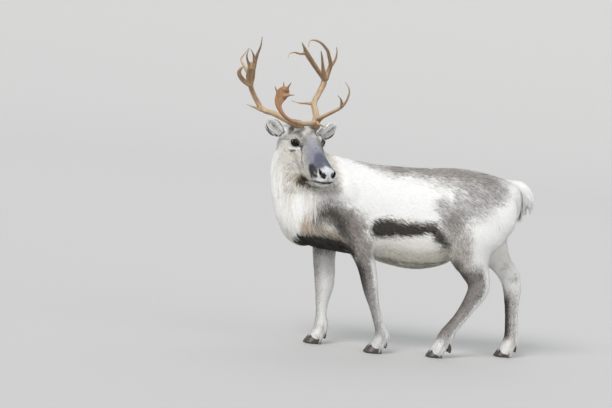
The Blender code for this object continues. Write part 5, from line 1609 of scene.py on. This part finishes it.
bristleNodes = bristleTree(bristleMaterial())


def growBristles(name, plan, places, grows, leans):
    mesh = bpy.data.meshes.new(name)
    mesh.from_pydata([tuple(place) for place in places], [], [])
    for key, ways in (("grow", grows), ("lean", leans)):
        storeVectors(mesh, key, ways)
    made = newObject(name, mesh)
    step = made.modifiers.new("bristles", "NODES")
    step.node_group = bristleNodes
    for socket in bristleNodes.interface.items_tree:
        if socket.in_out == "INPUT" and socket.name in plan:
            step[socket.identifier] = plan[socket.name]
    applyModifiers(made)
    for key in ("grow", "lean"):
        if key in made.data.attributes:
            made.data.attributes.remove(made.data.attributes[key])
    unwrap(made)
    made.data.shade_smooth()
    finishPiece(made, "white_coat")
    print("scene:", name, len(places), "bristles,", triangleCount(made), "triangles")


draw = np.random.default_rng(70)
places, grows, leans = [], [], []
for side in (-1, 1):
    along, high, gaze = eyeAxes(side)
    loop = almond(side, 1.03, 150)
    for k in list(range(8, 68)) + list(range(92, 134, 2)):
        over = 1.0 if k < 75 else -0.45
        places.append(loop[k] + gaze * 0.0016)
        grows.append(unit(gaze * 1.0 + high * (0.1 * over + draw.normal(0, 0.1))
            + along * ((loop[k] - loop.mean(0)) @ along * 22 + draw.normal(0, 0.1))))
        leans.append(high * over)
growBristles("lashes", bristlePlan["lashes"], places, grows, leans)
places, grows, leans = [], [], []
for along, left, above, count, spread in ((0.275, 0.048, -0.085, 16, 0.014), (0.3, 0.045, -0.062, 12, 0.01),
    (0.285, 0.034, -0.118, 12, 0.012), (0.3, 0.012, -0.108, 8, 0.01)):
    for side in (-1, 1):
        for _ in range(count):
            spot, normal, _, _ = skinTree.find_nearest(onHead((along + draw.normal(0, spread), left * side,
                above + draw.normal(0, spread * 0.7))))
            places.append(np.array(spot) - np.array(normal) * 0.001)
            forwards, downwards = draw.normal(0.15, 0.25), abs(draw.normal(0.2, 0.2))
            grows.append(unit(np.array(normal) + faceLine * forwards - crown * downwards))
            leans.append(-faceLine * 0.5 - up)
growBristles("whiskers", bristlePlan["whiskers"], places, grows, leans)


# Antlers
antlerPlan = {"voxel": 0.0023, "smoothing": 7}
palmWide = np.array((0.966, -0.259, 0.0))


# round routes in millimetres run between two radii, and are wider where they leave their parent
def even(points, thickness):
    points, thickness = np.array(points) / 1000, np.array(thickness) / 1000
    share = np.linspace(0, 1, len(points))
    flare = thickness[0] * 0.45 * np.clip(1 - share * 3.2, 0, 1) ** 2
    radii = thickness[0] + (thickness[1] - thickness[0]) * share + flare
    return [(*point, radius, radius) for point, radius in zip(points, radii)], False


def withRadii(points, radii):
    return [(*point, radius, radius) for point, radius in zip(np.array(points) / 1000, np.array(radii) / 1000)], False


# flat routes give both half sizes at each place
def flatRoute(rows):
    return fromMillimetres(rows), True


leftAntler = {
    "beam": withRadii([(-3, 40, -18), (-4, 42, -4), (-12, 50, 16), (-45, 69, 38), (-90, 87, 60), (-160, 115, 99),
        (-205, 160, 142), (-220, 190, 190), (-215, 189, 222)], [19.5, 24.5, 20.5, 16.5, 15, 14, 13.5, 14.5, 13]),
    "back": even([(-150, 110, 94), (-190, 100, 93), (-230, 79, 90), (-270, 48, 97)], (8.5, 2.2)),
    "inner": flatRoute([(-215, 190, 212, 12, 12), (-210, 160, 237, 11, 10), (-190, 107, 281, 13, 8),
        (-165, 52, 326, 14, 6), (-140, 21, 353, 8, 5), (-120, -9, 379, 2.8, 2)]),
    "curl": even([(-164, 50, 330), (-150, 5, 324), (-130, -35, 328), (-103, -78, 320), (-90, -90, 296)], (6.5, 2)),
    "middle": even([(-215, 188, 216), (-170, 147, 276), (-130, 114, 319), (-100, 88, 348)], (10.5, 2.8)),
    "outer": even([(-215, 191, 214), (-210, 202, 250), (-190, 200, 286), (-160, 170, 324), (-130, 138, 354),
        (-90, 78, 385), (-60, 21, 396), (-45, -10, 388), (-35, -18, 360)], (12.5, 2.6)),
    "tip": even([(-192, 200, 280), (-188, 214, 296), (-180, 220, 320), (-170, 216, 349), (-160, 205, 373)],
        (8.5, 2.4)),
    "bez": even([(-20, 56, 22), (15, 52, 34), (50, 55, 50), (100, 71, 75), (140, 83, 97), (163, 90, 118),
        (184, 91, 145), (200, 88, 177), (208, 75, 200), (200, 59, 222)], (11.5, 2.6)),
    "bezFork": even([(150, 86, 105), (170, 66, 136), (190, 33, 158)], (6.8, 2.2)),
    "spike": even([(0, 40, 12), (30, 51, 6), (46, 72, -2)], (9.5, 2.4)),
    "brow": flatRoute([(-10, 46, 10, 13, 13), (25, 14, 10, 12, 13), (62, -34, 9, 11, 12), (92, -92, 8, 10, 11),
        (110, -134, 13, 10, 10), (120, -184, 30, 9, 9), (120, -213, 55, 10, 8), (112, -226, 81, 14, 7),
        (111, -226, 109, 23, 6), (120, -217, 138, 29, 5), (127, -212, 160, 25, 4), (131, -210, 174, 10, 2)]),
    "browTip1": even([(108, -226, 128), (103, -240, 150), (100, -252, 172)], (7.8, 2.2)),
    "browTip2": even([(122, -213, 155), (121, -216, 176), (120, -219, 197)], (7.8, 2.2)),
    "browTip3": even([(130, -208, 155), (144, -203, 176), (160, -199, 197)], (7.8, 2.2)),
    "browTip4": even([(122, -210, 128), (142, -192, 136), (160, -175, 139)], (7.8, 2.2)),
}
rightAntler = {
    "beam": withRadii([(-3, -40, -18), (-5, -42, -4), (-22, -52, 1), (-56, -67, 8), (-110, -80, 21), (-170, -98, 35),
        (-210, -115, 40), (-230, -130, 54), (-240, -147, 80), (-238, -168, 107), (-230, -189, 134),
        (-221, -203, 156)], [19.5, 24, 19.5, 16, 14.5, 13.5, 13, 13, 12.5, 12, 12, 12.5]),
    "back": even([(-222, -130, 46), (-270, -134, 48), (-300, -139, 52), (-330, -156, 60)], (9, 2.2)),
    "palm": flatRoute([(-222, -201, 150, 13, 12), (-216, -208, 166, 17, 10), (-200, -219, 193, 22, 7),
        (-180, -229, 226, 21, 6), (-165, -236, 252, 18, 5), (-158, -238, 266, 6, 3)]),
    "lobe": flatRoute([(-219, -208, 152, 10, 9), (-220, -243, 173, 13, 6), (-211, -270, 195, 12, 6),
        (-200, -281, 214, 10, 6), (-182, -279, 234, 6, 5), (-170, -273, 248, 2, 2)]),
    "top": even([(-168, -229, 236), (-140, -234, 276), (-110, -241, 310), (-70, -252, 344), (-30, -271, 388)],
        (11, 2.4)),
    "tine1": even([(-180, -234, 232), (-160, -266, 272), (-130, -287, 296), (-100, -295, 330)], (7, 2.1)),
    "tine2": even([(-142, -236, 270), (-122, -259, 302), (-100, -289, 326)], (7, 2.1)),
    "tine3": even([(-200, -228, 205), (-240, -244, 249), (-260, -246, 271), (-258, -231, 297), (-240, -222, 327)],
        (7, 2.1)),
}


def antlerTube(route, flat, steps=7, sides=18):
    path = curveThrough(route, steps)
    places = overHead(path[:, :3])
    rings, side = [], None
    turn = wholeTurn(sides)
    for i, place in enumerate(places):
        along = unit(heading(places, i))
        if flat:
            side = unit(palmWide - along * (along @ palmWide))
        elif side is None:
            side = unit(np.cross(along, (0.3, 0.5, 0.8)))
        else:
            side = unit(side - along * (along @ side))
        other = np.cross(along, side)
        rings.append(place + np.outer(np.cos(turn) * path[i][3], side) + np.outer(np.sin(turn) * path[i][4], other))
    return tube(rings), places


def boneMaterial():
    material, tree, shader = newMaterial("antler_bone_worn_and_shaded", 0.48, 0.4)
    tint = addNode(tree, "ShaderNodeAttribute", attribute_name="coat")
    streak = addNoise(tree, 1.0, 4.0, 0.55, attribute="grain")
    tintBy(tree, shader, tint.outputs["Color"], streak, 0.72, 1.15)
    both = addNode(tree, "ShaderNodeMath", operation="MULTIPLY_ADD")
    both.inputs[1].default_value = 0.3
    tree.links.new(addNoise(tree, 260.0, 2.0), both.inputs[0])
    tree.links.new(streak, both.inputs[2])
    liftBy(tree, shader, both.outputs["Value"], 0.7, 0.0012)
    return material


bone = boneMaterial()
# pale also serves as painted light on the tops, and deep as painted shade on the undersides
boneTones = {
    "base": (0.37, 0.228, 0.124),
    "pale": (0.76, 0.61, 0.42),
    "deep": (0.16, 0.08, 0.037),
    "browned": (0.35, 0.16, 0.068),
}


def buildAntler(name, routes, nodes):
    tubes, lines = [], []
    for key, (route, flat) in routes.items():
        made, places = antlerTube(route, flat)
        tubes.append(made)
        lines.append((key, places))
    antler = melt(makeObject(name, tubes), antlerPlan["voxel"], antlerPlan["smoothing"])
    points, normals = readPoints(antler), readNormals(antler)
    best = np.full(len(points), farAway)
    grain = np.zeros((len(points), 3))
    toTip = np.zeros(len(points))
    offset = 0.0
    for key, places in lines:
        steps = np.linalg.norm(np.diff(places, axis=0), axis=1).cumsum()
        away, share = toPath(points, places)
        closer = away < best
        best = np.where(closer, away, best)
        run = share * steps[-1]
        index = np.clip((share * (len(places) - 1)).astype(int), 0, len(places) - 2)
        nearest = places[index] + (places[index + 1] - places[index]) * ((share * (len(places) - 1)) % 1)[:, None]
        way = unit(points - nearest)
        streak = np.column_stack([way[:, 0] * 2.8 + offset, way[:, 1] * 2.8, way[:, 2] * 2.8 + run * 9.0])
        grain = np.where(closer[:, None], streak, grain)
        toTip = np.where(closer, share if key != "beam" else share * 0.3, toTip)
        offset += 3.7
    browned = 1 - ramp(np.linalg.norm(points - overHead((0.118, -0.215, 0.1)), axis=1), 0.05, 0.16)
    burr = overHead((-0.01, 0.048 if "left" in name else -0.048, 0.012))
    low = 1 - ramp(np.linalg.norm(points - burr, axis=1), 0.02, 0.075)
    knobs = mottle(points, 170, 41) - 0.4
    grooves = roughness3(grain * 2.4, 1.0, 43) - 0.5
    points += normals * (0.003 * low * knobs + 0.0009 * grooves)[:, None]
    writePoints(antler, points)
    base, pale, deep, brown = (np.array(tone) for tone in boneTones.values())
    colour = np.tile(base, (len(points), 1))
    worn = ramp(0.6 * roughness3(grain * 0.9, 1.0, 47) + 0.4 * mottle(points, 40, 49), 0.4, 0.7)
    blend(colour, pale, 0.5 * worn)
    blend(colour, pale, 0.45 * ramp(toTip, 0.6, 0.85))
    # paler where the surface faces up: painted light on the tops
    blend(colour, pale, 0.4 * ramp(normals[:, 2], 0.1, 0.9))
    blend(colour, brown, 0.75 * browned)
    blend(colour, deep, 0.45 * low * ramp(knobs, -0.1, 0.2))
    blend(colour, deep, 0.42 * ramp(-grooves, 0.02, 0.25))
    # darker where the surface faces down: painted shade on the undersides
    blend(colour, deep, 0.45 * ramp(-normals[:, 2], -0.1, 0.8))
    paintCoat(antler.data, colour)
    storeVectors(antler.data, "grain", grain)
    antler.data.shade_smooth()
    antler.data.materials.append(bone)
    finishPiece(antler, "antler_bone", *nodes)
    print("scene:", name, triangleCount(antler), "triangles")


for name, routes in (("antler_left", leftAntler), ("antler_right", rightAntler)):
    buildAntler(name, routes, [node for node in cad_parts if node.startswith(name)])


# Hooves and dewclaws
def hornMaterial():
    material, tree, shader = newMaterial("dark_horn", 0.42)
    rings = addNoise(tree, 1.0, 3.0, stretch=(90.0, 90.0, 520.0))
    spread = addNode(tree, "ShaderNodeMapRange", {"From Min": 0.3, "From Max": 0.7})
    tree.links.new(rings, spread.inputs["Value"])
    colour = mixColour(tree, "MIX", spread.outputs["Result"], (0.022, 0.018, 0.016, 1), (0.085, 0.07, 0.06, 1))
    tree.links.new(colour, shader.inputs["Base Color"])
    liftBy(tree, shader, rings, 0.5, 0.0008)
    return material


horn = hornMaterial()
hoofPlan = {"coronet": 0.036, "fore": (0.08, 0.038), "hind": (0.074, 0.034)}  # then length and width of a claw


# one claw: a crescent sole that is hollow under the toe, a sloped ringed wall and a flat inner side
def buildHoof(name, ankle, side, hind):
    x, y = ankle[0], ankle[1]
    length, width = hoofPlan["hind" if hind else "fore"]
    levels = [(0.0022, 0.55, 0.0, 0.0), (0.0, 0.9, 0.0, 0.0), (0.0012, 0.985, 0.0, 0.0), (0.007, 1.03, 0.0, 0.0),
        (0.014, 0.985, 0.003, 0.0), (0.02, 0.93, 0.006, 0.0)]
    levels += [(None, 0.9 - 0.15 * s, 0.008 + 0.008 * s, 0.4 + 0.6 * s) for s in (0.15, 0.4, 0.7, 0.92)]
    levels.append((None, 0.62, 0.017, 1.02))
    rings = []
    sides = 40
    turn = wholeTurn(sides)
    forward, across = np.cos(turn), np.sin(turn)
    for height, size, back, climb in levels:
        pointed = np.sign(forward) * np.abs(forward) ** np.where(forward > 0, 0.92, 1.1)
        toeIn = 0.3 * np.maximum(forward, 0.0)
        out = (across * 0.5 + 0.5) * width * (1.0 - 0.35 * np.maximum(forward, 0) ** 2) * size
        placeX = x - 0.012 - pointed * length * 0.5 * size + back
        placeY = y + side * (0.0012 + out + toeIn * width * 0.1)
        top = hoofPlan["coronet"] * (0.72 + 0.42 * (forward + 1) / 2)
        z = np.full(sides, height) if height is not None else 0.02 + (top - 0.02) * climb
        rings.append(np.stack([placeX, placeY, z], axis=1))
    hoof = makeObject(name, [tube(rings)])
    smooth = hoof.modifiers.new("round", "SUBSURF")
    smooth.levels = 1
    applyModifiers(hoof)
    points, normals = readPoints(hoof), readNormals(hoof)
    ringsOfGrowth = np.sin(points[:, 2] * 1500 + 2.0 * roughness3(points, 60, 51)) * ramp(points[:, 2], 0.006, 0.012)
    points += normals * (0.00028 * ringsOfGrowth)[:, None]
    points[:, 2] = np.maximum(points[:, 2], 0.0)
    writePoints(hoof, points)
    hoof.data.shade_smooth()
    hoof.data.materials.append(horn)
    return hoof


def buildDewclaw(name, fetlock, side):
    x, y = fetlock[0], fetlock[1]
    rows = [(x + 0.009, y + side * 0.014, 0.076, 0.007, 0.0066), (x + 0.015, y + side * 0.016, 0.066, 0.0078, 0.0072),
            (x + 0.021, y + side * 0.018, 0.051, 0.008, 0.0074), (x + 0.022, y + side * 0.019, 0.038, 0.0062, 0.006),
            (x + 0.02, y + side * 0.018, 0.029, 0.0028, 0.0028)]
    claw = makeObject(name, [tube(limbRings(rows, 4, 20))])
    claw.data.shade_smooth()
    claw.data.materials.append(horn)
    return claw


for leg, rows in legRows.items():
    for side, word in ((-1, "left"), (1, "right")):
        hind = leg.startswith("hind")
        foot = leg + "_" + word
        finishPiece(buildHoof("claw_" + foot, rows[-2], side, hind), "hoof_horn", "hoof_" + foot)
        finishPiece(buildDewclaw("dew_" + foot, rows[-4], side), "hoof_horn", "dewclaw_" + foot)


# Floor, light and camera: a wide round floor that sweeps up into a wall far from the animal
floorPlan = {"flat": 14.0, "rise": 10.0, "sides": 96, "colour": (0.47, 0.47, 0.465, 1)}


def buildFloor():
    flat, rise, sides = floorPlan["flat"], floorPlan["rise"], floorPlan["sides"]
    profile = [(0.02, 0.0), (6.0, 0.0), (flat, 0.0)]
    profile += [(flat + rise * math.sin(t), rise * (1 - math.cos(t))) for t in np.linspace(0.08, 0.98, 14)]
    turns = wholeTurn(sides)
    vertices = [(r * math.cos(t), r * math.sin(t), z) for r, z in profile for t in turns]
    faces = []
    for i in range(len(profile) - 1):
        for k in range(sides):
            m = (k + 1) % sides
            faces.append((i * sides + k, (i + 1) * sides + k, (i + 1) * sides + m, i * sides + m))
    faces.append(tuple(range(sides)))
    mesh = bpy.data.meshes.new("floor")
    mesh.from_pydata(vertices, [], faces)
    mesh.shade_smooth()
    material, _, shader = newMaterial("pale_floor", 0.9)
    shader.inputs["Base Color"].default_value = floorPlan["colour"]
    mesh.materials.append(material)
    made = newObject("floor", mesh)


buildFloor()
bpy.context.scene.view_settings.view_transform = "Standard"

world = bpy.data.worlds.new("studio")
world.use_nodes = True
world.node_tree.nodes["Background"].inputs["Color"].default_value = (0.96, 0.98, 1.0, 1)
world.node_tree.nodes["Background"].inputs["Strength"].default_value = 0.71
bpy.context.scene.world = world

# where each light comes from, its strength, its size in degrees and its colour
suns = {
    "key": ((-2.6, -3.4, 3.6), 2.2, 24, (1.0, 0.99, 0.97)),
    "fill": ((2.6, -3.0, 1.7), 0.5, 60, (1.0, 1.0, 1.0)),
    "rim": ((1.8, 3.0, 2.6), 0.55, 50, (1.0, 1.0, 1.0)),
}
for name, (place, energy, angle, colour) in suns.items():
    data = bpy.data.lights.new(name, "SUN")
    data.energy, data.angle, data.color = energy, math.radians(angle), colour
    newObject(name, data).rotation_euler = (-Vector(place)).to_track_quat("-Z", "Y").to_euler()

# angles in degrees, metres to the camera, pixels per metre, and the pixel where the first sketch point lies
view = {"azimuth": -15.0, "elevation": 4.0, "roll": 6.0, "distance": 13.0, "perMetre": 210.0, "anchor": (400, 352)}
renderWidth, renderHeight, sensorWidth = 612, 408, 36.0
azimuth, elevation, roll = (math.radians(view[key]) for key in ("azimuth", "elevation", "roll"))
backward = np.array((math.sin(azimuth) * math.cos(elevation), -math.cos(azimuth) * math.cos(elevation),
    math.sin(elevation)))
level = np.array((math.cos(azimuth), math.sin(azimuth), 0.0))
rise = np.cross(backward, level)
rightward = level * math.cos(roll) + rise * math.sin(roll)
upward = -level * math.sin(roll) + rise * math.cos(roll)
aside = (view["anchor"][0] - renderWidth / 2) / view["perMetre"]
below = (renderHeight / 2 - view["anchor"][1]) / view["perMetre"]
centre = shift - rightward * aside - upward * below + backward * view["distance"]
cameraData = bpy.data.cameras.new("camera")
cameraData.sensor_width = sensorWidth
cameraData.lens = view["perMetre"] * view["distance"] * sensorWidth / renderWidth
cameraData.clip_end = 60.0
camera = newObject("camera", cameraData)
turning = np.eye(4)
turning[:3, 0], turning[:3, 1], turning[:3, 2], turning[:3, 3] = rightward, upward, backward, centre
camera.matrix_world = Matrix(turning.tolist())
bpy.context.scene.camera = camera
